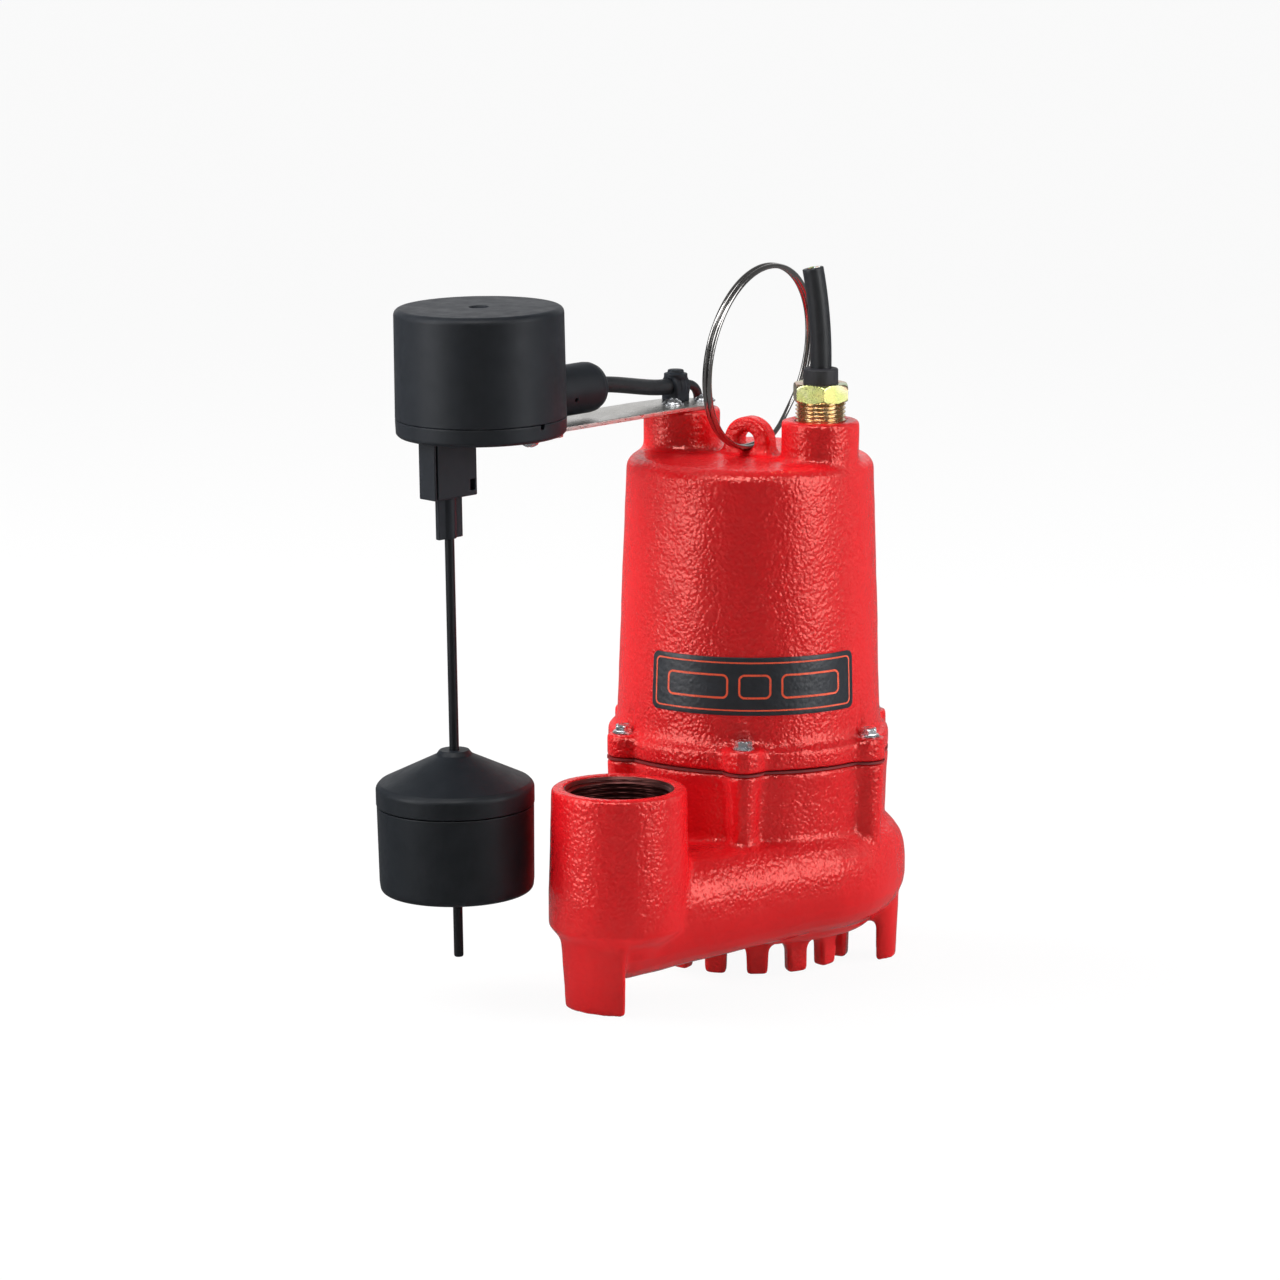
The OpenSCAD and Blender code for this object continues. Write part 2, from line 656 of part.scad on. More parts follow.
// Split ring of round wire, two turns side by side
module lifting_ring() {
    ring_r = 41.8;
    lean = 6.5;
    // the wire crosses from one turn to the other in the gap between its ends
    function offset_x(a) = mix(-1.2, 1.2, ease(clamp01((a - 352) / 36)));
    color([0.70, 0.70, 0.68]) row_frame() translate([0, 0, 240]) rotate([0, lean, 0])
        translate([0, 0, ring_r - 2.9]) rotate([0, 0, -1.5])
            sweep([for (k = [0:108]) let (a = 34 + k * 6.2)
                [offset_x(a), ring_r * sin(a + 135), ring_r * cos(a + 135)]],
                r = 1.15, sides = 10);
}

// ------------------------------------------------------------ float switch

bracket_t = 2;                  // thickness of the bracket
bracket_top = boss_z + bracket_t;
cap_z0 = boss_z + 10;           // foot of the switch cap
cap_z1 = boss_z + 58.6;         // top of the switch cap
cable_z = boss_z + 15.5;        // axis of the cable at the switch
cable_y = -5.2;                 // the cable's place across the bracket, at the clip
cable_lift = 7;                 // height of the cable's axis over the bracket, at the clip
hinge_x = -2.5;                 // lever pin, from the switch axis
hinge_z = boss_z + 8.8;
snap_half_w = 7.6;              // half the width of the snap switch and its ears
mount_screw_r = 1.9;

module switch_bracket() {
    end_x = 130;
    drop = tan(droop) * (end_x - bend_t);
    color(steel) strap_frame() difference() {
        intersection() {
            // outline: round end on the boss, wider plate under the switch
            translate([0, 0, boss_z - 10]) linear_extrude(20) {
                circle(r = 14.5, $fn = 64);
                polygon([[0, -14.5], [91, -14.5], [96, -25], [122, -25], [127.5, -19],
                    [127.5, 19], [122, 25], [96, 25], [91, 14.5], [0, 14.5]]);
            }
            // side view: flat on the boss, then bent slightly down
            translate([0, 30, boss_z]) rotate([90, 0, 0]) linear_extrude(60)
                polygon([[-20, 0], [bend_t, 0], [end_x, -drop], [end_x, bracket_t - drop],
                    [bend_t, bracket_t], [-20, bracket_t]]);
        }
        at_bracket_screws() post(z = boss_z - 1, h = 4, r = 2.7, $fn = 32);
        hang() translate([switch_t, 0, 0]) at_mounts()
            post(z = boss_z - 1, h = 4, r = 2.2, $fn = 32);
    }
}

module bracket_screws() {
    color([0.8, 0.8, 0.8]) strap_frame() at_bracket_screws() {
        post(z = 241, h = boss_z + 3 - 241, r = 2.3, $fn = 32);
        post(z = bracket_top, h = 0.8, r = 5, $fn = 40);
        // domed head with a cross recess
        difference() {
            translate([0, 0, bracket_top + 0.7]) turned($fn = 40, [[0, 0], [4.2, 0],
                [4.2, 0.9], [3.4, 1.8], [2, 2.3], [0, 2.4]]);
            for (a = [0, 90]) rotate([0, 0, 20 + a])
                translate([-2.4, -0.45, bracket_top + 1.7]) cube([4.8, 0.9, 3]);
        }
    }
}

// Saddle that ties the cable down on the bracket
module cable_clip() {
    length = 11;
    half_w = 5.9;
    color(black) strap_frame() translate([-1, cable_y, bracket_top]) difference() {
        union() {
            translate([-length / 2, -half_w, 0]) cube([length, 2 * half_w, cable_lift]);
            bar_x([-length / 2, 0, cable_lift], h = length, r = half_w, $fn = 40);
            bar_x([-2.6, 0, cable_lift], h = 5.2, r = 6.6, $fn = 40);
        }
        bar_x([-10, 0, cable_lift], h = 20, r = cable_r + 0.05, $fn = 40);
        // trims the rib flush with the bracket
        translate([-10, -8, -6]) cube([20, 16, 6]);
    }
}

module switch_cap() {
    color(black) switch_frame() difference() {
        rotate_extrude($fn = 80) difference() {
            polygon(concat([[0, cap_z0], [switch_r, cap_z0]],
                quarter(switch_r - 3.4, cap_z1 - 3, 3, 6), [[0, cap_z1]]));
            polygon([[0, cap_z0 - 1], [switch_r - 3, cap_z0 - 1],
                [switch_r - 3.5, cap_z1 - 6.1], [switch_r - 5.5, cap_z1 - 3.6],
                [0, cap_z1 - 3.6]]);
        }
        // moulding dimple
        post(z = cap_z1 - 0.6, h = 2, r = 4.5, $fn = 40);
        // cable entry
        bar_x([-50, 0, cable_z], h = 20, r = 4.65, $fn = 40);
    }
}

module switch_base() {
    ear_t = 3;
    color([0.06, 0.06, 0.07]) switch_frame() difference() {
        union() {
            translate([0, 0, bracket_top]) turned($fn = 80, [[0, 0], [switch_r - 1, 0],
                [switch_r - 0.1, 0.9], [switch_r - 0.1, 7.9], [switch_r - 3.2, 7.9],
                [switch_r - 3.2, 11], [switch_r - 5, 11], [switch_r - 5, 3.2], [0, 3.2]]);
            at_mounts() post(z = boss_z + 4, h = 6.5, r = 4.6, $fn = 40);
            // ears that hold the lever pin and carry the snap switch
            for (y = [-snap_half_w, snap_half_w - ear_t])
                translate([-10, y, boss_z + 4]) cube([16, ear_t, 12.5]);
        }
        // plunger hole
        translate([rod_t, 0, 0]) post(z = 240, h = 30, r = 3.3, $fn = 32);
        at_mounts() post(z = boss_z, h = 9, r = mount_screw_r + 0.02, $fn = 32);
        // lever pin hole
        bar_y([hinge_x, 15, hinge_z], h = 30, r = 1.2, $fn = 24);
        // clearance for the cable gland's nipple
        translate([-40, -6, cable_z - 7]) cube([12, 12, 12]);
    }
}

module switch_mount_screws() {
    color([0.8, 0.8, 0.8]) switch_frame() at_mounts() {
        post(z = boss_z - 1, h = 9, r = mount_screw_r, $fn = 32);
        post(z = boss_z - 0.8, h = 0.8, r = 4.4, $fn = 40);
        post(z = boss_z - 3.2, h = 2.5, r = 2.6, r_top = 3.7, $fn = 40);
    }
}

module switch_gland() {
    nipple_r = 4.6;
    color(black) switch_frame() difference() {
        // outline is [radius, distance from the switch axis toward the boss]
        translate([0, 0, cable_z]) rotate([0, -90, 0]) turned($fn = 56, [[0, 33.6],
            [nipple_r, 33.6], [nipple_r, 36], [11.5, 36], [11.5, 63], [11.2, 65.5], [10, 68],
            [8, 70], [6.5, 71], [0, 71]]);
        // saddle that sits against the switch
        difference() {
            post(z = 250, h = 40, r = switch_r + 0.02, $fn = 80);
            bar_x([-45, 0, cable_z], h = 20, r = nipple_r, $fn = 40);
        }
        bar_x([-90, 0, cable_z], h = 46, r = cable_r + 0.03, $fn = 40);
    }
}

function bezier(a, b, c, d, u) = let (v = 1 - u)
    v * v * v * a + 3 * v * v * u * b + 3 * v * u * u * c + u * u * u * d;

// Sheathed from inside the gland, along the bracket to the clip, then a thinner
// cord that turns down behind the boss
module switch_cable() {
    x0 = switch_t - 46;         // end inside the gland
    z1 = bracket_top + cable_lift;
    bend_x = x0 - 84.5;         // where the thin cord starts to turn down
    start = hung([x0 - 26, 0, cable_z]);
    end = [x0 - 70, cable_y, z1];
    pull = [10, 0, 0];
    sheathed = concat(
        [hung([x0, 0, cable_z]), hung([x0 - 13, 0, cable_z]), start],
        // a slack curve from the gland to the clip
        [for (k = [1:9]) bezier(start, start - pull, end + pull, end, k / 9)],
        [[x0 - 78, cable_y, z1], [x0 - 79.5, cable_y, z1]]);
    bare = concat(
        [for (k = [0:10]) let (a = 9 * k)
            [bend_x - 11 * sin(a), cable_y - 4 * (1 - cos(a)), z1 - 12 * (1 - cos(a))]],
        [[x0 - 95.9, -9.6, z1 - 17]]);
    radii = concat([for (p = sheathed) cable_r], [for (p = bare) 2.1]);
    color(black) strap_frame() sweep(concat(sheathed, bare), r = radii, sides = 20);
}

module snap_switch() {
    color([0.10, 0.10, 0.12]) switch_frame() difference() {
        translate([-10, -snap_half_w, boss_z + 16.6]) cube([20, 2 * snap_half_w, 14]);
        // button well
        translate([0.2, -1.9, boss_z + 10]) cube([3.6, 3.8, 10.2]);
        for (side = [-1, 1]) bar_y([side * 7, 10, boss_z + 24], h = 20, r = 1.5, $fn = 32);
    }
}

module snap_switch_button() {
    color([0.85, 0.2, 0.15]) switch_frame()
        translate([0.4, -1.7, boss_z + 10.4]) cube([3.2, 3.4, 6.9]);
}

module switch_lever() {
    half_w = 3.5;
    color(steel) switch_frame() difference() {
        union() {
            bar_y([hinge_x, half_w, hinge_z], h = 2 * half_w, r = 2.6, $fn = 32);
            translate([hinge_x, -half_w, hinge_z - 1]) cube([24.5, 2 * half_w, 1.4]);
        }
        bar_y([hinge_x, 15, hinge_z], h = 30, r = 1.24, $fn = 24);
    }
}

module lever_pin() {
    color(steel) switch_frame()
        bar_y([hinge_x, snap_half_w, hinge_z], h = 2 * snap_half_w, r = 1.19, $fn = 24);
}

// ------------------------------------------------------------ rod and float

guide_z = boss_z - 23.5;        // foot of the rod guide
plunger_z = boss_z - 42;        // foot of the plunger
rod_fit_r = rod_r + 0.01;       // bores fixed on the rod
float_bore_r = rod_r + 0.08;    // bore that slides on the rod
float_seam = 90.5;

module rod_guide() {
    color(black) rod_frame() difference() {
        translate([-12.4, -5.35, guide_z]) cube([24.8, 10.7, bracket_top - guide_z]);
        post(z = 220, h = 60, r = 3.32, $fn = 32);
        // keyways for the plunger's wings
        translate([-7.15, -1.35, 220]) cube([14.3, 2.7, 30]);
        // moulding window near the -X end
        translate([-11.2, -7, guide_z + 2.5]) cube([2.9, 20, 4.8]);
        // groove at the +X, +Y corner
        translate([10.4, 3.9, 220]) cube([1, 3, 60]);
    }
}

module plunger() {
    color(black) rod_frame() difference() {
        union() {
            post(z = plunger_z, h = 46.5, r = 3.24, $fn = 32);
            post(z = plunger_z + 45.5, h = 4, r = 1.2, $fn = 24);
            translate([-7.05, -1.25, plunger_z]) cube([14.1, 2.5, 30]);
        }
        post(z = plunger_z - 10.5, h = 48, r = rod_fit_r, $fn = 32);
    }
}

module float_rod() {
    foot_z = 20.4;
    color(black) rod_frame() {
        post(z = foot_z, h = plunger_z + 36.9 - foot_z, r = rod_r, $fn = 32);
        post(z = foot_z - 0.6, h = 0.6, r = rod_r - 0.5, r_top = rod_r, $fn = 32);
    }
}

module rod_stop() {
    color([0.12, 0.12, 0.12]) rod_frame() difference() {
        union() {
            post(z = 46.9, h = 2, r = 4.2, r_top = 5, $fn = 40);
            post(z = 48.9, h = 2, r = 5, $fn = 40);
        }
        post(z = 40, h = 20, r = rod_fit_r, $fn = 32);
    }
}

module float_upper_shell() {
    color(black) rod_frame() turned($fn = 80, [[6.4, 112.4], [31.6, 98], [32.6, 96.5],
        [32.5, float_seam], [float_r, float_seam], [float_r, 98.6], [34.8, 99.8], [34, 100.5],
        [8.2, 112.9], [6.4, 114.2], [6.2, 115], [float_bore_r, 115], [float_bore_r, 106],
        [4.2, 106], [4.2, 112.4]]);
}

module float_lower_shell() {
    color(black) rod_frame() turned($fn = 80, [[float_bore_r, 51], [32.2, 51], [33.9, 51.7],
        [34.6, 53.2], [float_r - 0.15, float_seam - 0.8], [float_r - 0.5, float_seam],
        [32.4, float_seam], [32.4, 95], [30.6, 95], [31, 54.5], [30, 53.5], [4.1, 53.5],
        [4.1, 105.9], [float_bore_r, 105.9]]);
}

motor_housing();
volute_casing();
flange_gasket();
flange_screws();
nameplate();
seal_plate();
stator_core();
stator_windings();
thermal_protector();
lead_wires();
rotor_core();
rotor_end_rings();
motor_shaft();
upper_bearing_outer_race();
upper_bearing_inner_race();
upper_bearing_balls();
upper_bearing_cage();
lower_bearing_outer_race();
lower_bearing_inner_race();
lower_bearing_balls();
lower_bearing_cage();
seal_seat();
seal_head();
seal_spring();
impeller();
impeller_nut();
cord_connector();
gland_nut();
cord_grommet();
power_cord();
lifting_ring();
switch_bracket();
bracket_screws();
cable_clip();
switch_cap();
switch_base();
switch_mount_screws();
switch_gland();
switch_cable();
snap_switch();
snap_switch_button();
switch_lever();
lever_pin();
rod_guide();
plunger();
float_rod();
rod_stop();
float_upper_shell();
float_lower_shell();
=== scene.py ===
"""A submersible sump pump: red cast housing and volute, a cord, a lifting ring, and a float
switch that hangs on a bracket with its rod and float below.

The row frame is in metres, +Z up, with its origin at the top centre of the discharge port.
Pieces are drawn in millimetres in one of four frames, and placed in the row frame:
  floor   the motor shaft on Z, the floor at Z = 0
  strap   the bracket: its round end on Z, its length along +X
  switch  the switch's own axis on Z, drooping with the bracket
  rod     the float rod's axis on Z, parallel to the switch's
"""
import functools
import math

import bmesh
import bpy
import numpy as np
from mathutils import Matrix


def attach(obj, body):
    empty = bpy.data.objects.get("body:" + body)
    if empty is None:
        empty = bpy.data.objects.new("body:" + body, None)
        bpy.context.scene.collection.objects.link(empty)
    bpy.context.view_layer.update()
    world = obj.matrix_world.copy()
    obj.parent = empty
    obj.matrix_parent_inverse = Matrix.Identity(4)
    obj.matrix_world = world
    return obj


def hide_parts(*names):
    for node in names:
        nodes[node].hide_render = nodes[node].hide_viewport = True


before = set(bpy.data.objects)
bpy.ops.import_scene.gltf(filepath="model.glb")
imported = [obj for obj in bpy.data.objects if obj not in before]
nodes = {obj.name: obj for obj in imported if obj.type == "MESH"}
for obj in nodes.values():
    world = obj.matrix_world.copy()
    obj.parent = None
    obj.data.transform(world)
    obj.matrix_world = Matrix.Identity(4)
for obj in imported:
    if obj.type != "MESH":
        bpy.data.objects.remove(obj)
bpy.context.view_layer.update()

import openvdb as vdb
from mathutils import Matrix, Vector

scene = bpy.context.scene
scene.view_settings.view_transform = "Standard"

MM = 0.001
PORT_Y, PORT_Z = 108.0, 98.5    # shaft to port axis, and floor to the port's top
CORD_X = 37.0                   # the cord entry's axis, which the bracket also turns about
STRAP_TURN = math.radians(256.5)
BEND, DROOP = 18.0, math.radians(1.4)   # the bracket's bend, and its droop beyond it
STRAP_Z, STRAP_THICK = 252.5, 2.0       # the strap's underside
STRAP_TOP = STRAP_Z + STRAP_THICK
SWITCH_X = 122.9                # the switch's axis, along the bracket
ROD_X = 20.0                    # the rod's axis, from the switch's


def by_quality(full):
    return full


def place(kind):
    """The matrix from a piece's frame to the row frame."""
    m = Matrix.Scale(MM, 4) @ Matrix.Translation((0, PORT_Y, -PORT_Z))
    if kind in ("strap", "switch", "rod"):
        m = m @ Matrix.Translation((-CORD_X, 0, 0)) @ Matrix.Rotation(STRAP_TURN, 4, "Z")
    if kind in ("switch", "rod"):
        m = m @ Matrix.Translation((BEND, 0, STRAP_Z)) @ Matrix.Rotation(DROOP, 4, "Y")
        m = m @ Matrix.Translation((-BEND, 0, -STRAP_Z))
        m = m @ Matrix.Translation((SWITCH_X, 0, 0))
    if kind == "rod":
        m = m @ Matrix.Translation((ROD_X, 0, 0))
    return m


# --------------------------------------------------------------- materials

INPUTS = {"color": "Base Color", "rough": "Roughness", "metal": "Metallic", "coat": "Coat Weight",
          "coat_rough": "Coat Roughness", "spec": "Specular IOR Level", "normal": "Normal",
          "coat_normal": "Coat Normal", "aniso": "Anisotropic", "tint": "Specular Tint",
          "ior": "IOR"}


class Tree:
    """A short way to write a material's nodes. Any value may be a number or a socket."""

    def __init__(self, name):
        self.mat = bpy.data.materials.new(name)
        self.mat.use_nodes = True
        self.nodes = self.mat.node_tree.nodes
        self.bsdf = self.nodes["Principled BSDF"]

    @functools.cached_property
    def pos(self):
        return self.new("ShaderNodeTexCoord").outputs["Object"]

    def put(self, socket, value):
        if isinstance(value, bpy.types.NodeSocket):
            self.mat.node_tree.links.new(value, socket)
        elif socket.type == "RGBA" and len(value) == 3:
            socket.default_value = (*value, 1)
        else:
            socket.default_value = value

    def new(self, kind, **values):
        """A node, with its inputs and its own settings given by name."""
        node = self.nodes.new(kind)
        for key, value in values.items():
            if key in node.inputs:
                self.put(node.inputs[key], value)
            else:
                setattr(node, key, value)
        return node

    def scaled(self, scale):
        return self.new("ShaderNodeMapping", Vector=self.pos, Scale=scale).outputs[0]

    def noise(self, scale, detail=2.0, rough=0.5, vector=None):
        return self.new("ShaderNodeTexNoise", Vector=vector or self.pos, Scale=scale,
                        Detail=detail, Roughness=rough).outputs[0]

    def ramp(self, fac, stops):
        """stops are (position, grey or RGB)."""
        node = self.new("ShaderNodeValToRGB", Fac=fac)
        elements = node.color_ramp.elements
        while len(elements) < len(stops):
            elements.new(0.5)
        for element, (position, c) in zip(elements, stops):
            element.position = position
            element.color = (c, c, c, 1) if isinstance(c, (int, float)) else (*c, 1)
        return node.outputs["Color"]

    def maths(self, operation, a, b=0.0, c=None, kind="ShaderNodeMath"):
        node = self.new(kind, operation=operation)
        for socket, value in zip(node.inputs, (a, b, c)):
            if value is not None:
                self.put(socket, value)
        return node.outputs[0]

    def vector_maths(self, operation, a, b):
        return self.maths(operation, a, b, kind="ShaderNodeVectorMath")

    def axis(self, vector, name):
        return self.new("ShaderNodeSeparateXYZ", Vector=vector).outputs[name]

    def mix(self, fac, a, b):
        node = self.new("ShaderNodeMix", data_type="RGBA")
        for index, value in ((0, fac), (6, a), (7, b)):     # the factor and the two colours
            self.put(node.inputs[index], value)
        return node.outputs[2]

    def bump(self, height, depth_mm, strength=1.0, normal=None):
        node = self.new("ShaderNodeBump", Distance=depth_mm * MM, Strength=strength,
                        Height=height)
        if normal is not None:
            self.put(node.inputs["Normal"], normal)
        return node.outputs[0]

    def cast_skin(self, pebble_scale, grain_scale, pebble_share, grain_share, vector=None):
        """The pebble pattern, and the height of pebbles and grain together."""
        cells = self.new("ShaderNodeTexVoronoi", feature="SMOOTH_F1", Scale=pebble_scale,
                         Smoothness=0.55, Vector=vector or self.pos).outputs["Distance"]
        pebble = self.ramp(cells, ((0.05, 1.0), (0.72, 0.0)))
        grain = self.noise(scale=grain_scale, detail=1.5)
        return pebble, self.maths("ADD", self.maths("MULTIPLY", pebble, pebble_share),
                                  self.maths("MULTIPLY", grain, grain_share))

    def set(self, **values):
        for key, value in values.items():
            self.put(self.bsdf.inputs[INPUTS[key]], value)
        return self.mat


def shade(color, factor):
    return tuple(factor * x for x in color)


def red_enamel(name, smooth_below=None):
    """Thick glossy enamel over a cast skin: pebbles over a millimetre across, broken up by
    larger waves. Downward facing skin flows out smooth below a height in the row frame."""
    t = Tree(name)
    # the pebbles' pattern is pushed about by up to a millimetre or so
    push = t.new("ShaderNodeTexNoise", Vector=t.pos, Scale=260.0, Detail=1.0).outputs["Color"]
    push = t.vector_maths("SUBTRACT", push, (0.5, 0.5, 0.5))
    push = t.new("ShaderNodeVectorMath", operation="SCALE", Vector=push, Scale=0.0016).outputs[0]
    pebble, height = t.cast_skin(pebble_scale=560.0, grain_scale=960.0, pebble_share=0.7,
                                 grain_share=0.55, vector=t.vector_maths("ADD", t.pos, push))
    wave = t.noise(scale=150.0, rough=0.55)
    # the pebbles are deeper in some patches than in others
    patch = t.ramp(t.noise(scale=42.0), ((0.25, 0.55), (0.7, 1.0)))
    height = t.maths("MULTIPLY", height, patch)
    strength = 1.0
    if smooth_below is not None:
        fade, loss = 60.0, 0.86     # change per metre of height, and how much relief goes
        z = t.axis(t.pos, "Z")
        facing = t.axis(t.new("ShaderNodeNewGeometry").outputs["Normal"], "Z")
        low = t.ramp(t.maths("MULTIPLY_ADD", z, -fade, 0.5 + smooth_below * fade),
                     ((0.2, 0.0), (0.8, 1.0)))
        down = t.ramp(t.maths("MULTIPLY_ADD", facing, -1.0, 0.5), ((0.30, 0.0), (0.62, 1.0)))
        strength = t.maths("MULTIPLY_ADD", t.maths("MULTIPLY", low, down), -loss, 1.0)
    normal = t.bump(wave, depth_mm=0.55, strength=0.35)
    normal = t.bump(height, depth_mm=0.42, strength=strength, normal=normal)
    color = t.mix(t.noise(scale=60.0), (0.60, 0.0055, 0.0095), (0.67, 0.0085, 0.0130))
    # painted shade: the hollows between the pebbles are darkened a little, where shade would fall
    painted_hollow_shade = t.ramp(pebble, ((0.0, 1.0), (0.25, 0.0)))
    color = t.mix(t.maths("MULTIPLY", painted_hollow_shade, 0.10), color, (0.40, 0.004, 0.008))
    rough = t.ramp(t.noise(scale=300.0), ((0.3, 0.17), (0.75, 0.27)))
    return t.set(color=color, rough=rough, normal=normal, coat=0.10, coat_rough=0.06,
                 coat_normal=normal, ior=2.0, tint=(1.0, 0.33, 0.28))


def plastic(name, color, second=None, *, rough, grain=1500.0, depth=0.02):
    """Clouded moulded plastic. grain and depth (mm) set the fine texture."""
    t = Tree(name)
    cloud = t.ramp(t.noise(scale=90.0, detail=3.0, rough=0.55), ((0.3, 0.0), (0.7, 1.0)))
    c = t.mix(cloud, color, second or shade(color, 1.3))
    r = t.ramp(t.noise(scale=160.0, detail=3.0, rough=0.6),
               ((0.3, rough - 0.05), (0.7, rough + 0.06)))
    normal = t.bump(t.noise(scale=220.0, detail=1.5), depth_mm=0.05, strength=0.35)
    normal = t.bump(t.noise(scale=grain), depth_mm=depth, strength=0.6, normal=normal)
    return t.set(color=c, rough=r, normal=normal, spec=0.22)


def metal(name, color, second=None, *, rough, scratch=(900, 900, 900), depth=0.012,
          cloud=140.0, aniso=0.0):
    """Bare or plated metal. scratch is the fine texture's scale on each axis, and the
    smallest of them is the way the scratches run."""
    t = Tree(name)
    c = t.mix(t.ramp(t.noise(scale=cloud, detail=3.0, rough=0.6), ((0.3, 0.0), (0.7, 1.0))),
              color, second or shade(color, 0.82))
    fine = t.noise(scale=1.0, detail=4.0, rough=0.6, vector=t.scaled(scratch))
    r = t.ramp(fine, ((0.3, max(rough - 0.07, 0.04)), (0.7, rough + 0.08)))
    normal = t.bump(fine, depth_mm=depth, strength=0.7)
    return t.set(color=c, rough=r, metal=1.0, normal=normal, aniso=aniso)


def chromate_metal(name):
    """Yellow chromate over zinc, with green and pink where the film's thickness changes."""
    t = Tree(name)
    facing = t.new("ShaderNodeLayerWeight", Blend=0.35).outputs["Facing"]
    film = t.maths("ADD", t.noise(scale=70.0), t.maths("MULTIPLY", facing, 0.35))
    c = t.ramp(film, ((0.30, (0.86, 0.72, 0.26)), (0.48, (0.68, 0.72, 0.26)),
                      (0.60, (0.84, 0.80, 0.48)), (0.72, (0.80, 0.50, 0.36)),
                      (0.85, (0.56, 0.68, 0.42))))
    fine = t.noise(scale=700.0, detail=3.0, rough=0.6)
    return t.set(color=c, rough=t.ramp(fine, ((0.3, 0.16), (0.7, 0.30))), metal=1.0,
                 normal=t.bump(fine, depth_mm=0.01, strength=0.6))


def rubber(name, color, rough):
    t = Tree(name)
    c = t.mix(t.noise(scale=200.0, detail=3.0, rough=0.6), color, shade(color, 1.6))
    r = t.ramp(t.noise(scale=400.0, detail=3.0, rough=0.6),
               ((0.3, rough - 0.06), (0.7, rough + 0.08)))
    fine = t.noise(scale=900.0, detail=3.0, rough=0.6)
    return t.set(color=c, rough=r, normal=t.bump(fine, depth_mm=0.03, strength=0.7), spec=0.4)


def laminated(name, color):
    """Stacked sheets: a dark line every millimetre of height."""
    t = Tree(name)
    lines = t.maths("PINGPONG", t.maths("MULTIPLY", t.axis(t.pos, "Z"), 2000.0), 1.0)
    c = t.mix(t.ramp(lines, ((0.0, 0.0), (0.25, 1.0))), shade(color, 0.5), color)
    return t.set(color=c, rough=0.42, metal=1.0,
                 normal=t.bump(lines, depth_mm=0.06, strength=0.8))


def wound_copper(name):
    t = Tree(name)
    strands = t.noise(scale=1.0, detail=3.0, vector=t.scaled((260, 260, 2600)))
    c = t.mix(strands, (0.42, 0.13, 0.035), (0.78, 0.33, 0.11))
    return t.set(color=c, rough=0.35, metal=0.85,
                 normal=t.bump(strands, depth_mm=0.25, strength=0.8), coat=0.3)


def label_print(name):
    """Black panel with a thin orange frame and three outlined bars, drawn in millimetres
    from the panel's middle."""
    t = Tree(name)
    panel = t.new("ShaderNodeAttribute", attribute_name="panel").outputs["Vector"]
    split = t.new("ShaderNodeSeparateXYZ", Vector=panel)
    u, v = split.outputs["X"], split.outputs["Y"]

    def box(cx, half_u, half_v, radius):
        """Signed distance from a rounded box centred at (cx, 0)."""
        def beyond(coordinate, middle, half):
            off = t.maths("ABSOLUTE", t.maths("SUBTRACT", coordinate, middle))
            return t.maths("SUBTRACT", off, half - radius)

        dx, dy = beyond(u, cx, half_u), beyond(v, 0.0, half_v)
        mx, my = t.maths("MAXIMUM", dx, 0.0), t.maths("MAXIMUM", dy, 0.0)
        outside = t.maths("SQRT", t.maths("ADD", t.maths("MULTIPLY", mx, mx),
                                          t.maths("MULTIPLY", my, my)))
        inside = t.maths("MINIMUM", t.maths("MAXIMUM", dx, dy), 0.0)
        return t.maths("SUBTRACT", t.maths("ADD", outside, inside), radius)

    def line(distance, half_width):
        return t.ramp(t.maths("ABSOLUTE", distance),
                      ((half_width, 1.0), (half_width + 0.09, 0.0)))

    ink = line(box(cx=0, half_u=48.6, half_v=10.9, radius=2.2), half_width=0.30)
    for cx, half_u in ((-27.0, 14.5), (0.0, 7.0), (27.0, 14.5)):
        bar = line(box(cx, half_u, half_v=5.2, radius=2.4), half_width=0.42)
        ink = t.maths("MAXIMUM", ink, bar)
    wear = t.ramp(t.noise(scale=900.0, detail=3.0, rough=0.6), ((0.28, 0.55), (0.45, 1.0)))
    ink = t.maths("MULTIPLY", ink, wear)
    black = t.mix(t.noise(scale=200.0, detail=3.0, rough=0.6), (0.008, 0.010, 0.014),
                  (0.018, 0.022, 0.030))
    c = t.mix(ink, black, (0.80, 0.075, 0.015))
    _, height = t.cast_skin(pebble_scale=470.0, grain_scale=820.0, pebble_share=0.6,
                            grain_share=0.5)
    return t.set(color=c, rough=0.36, normal=t.bump(height, depth_mm=0.20, strength=0.75),
                 coat=0.15, coat_rough=0.2)


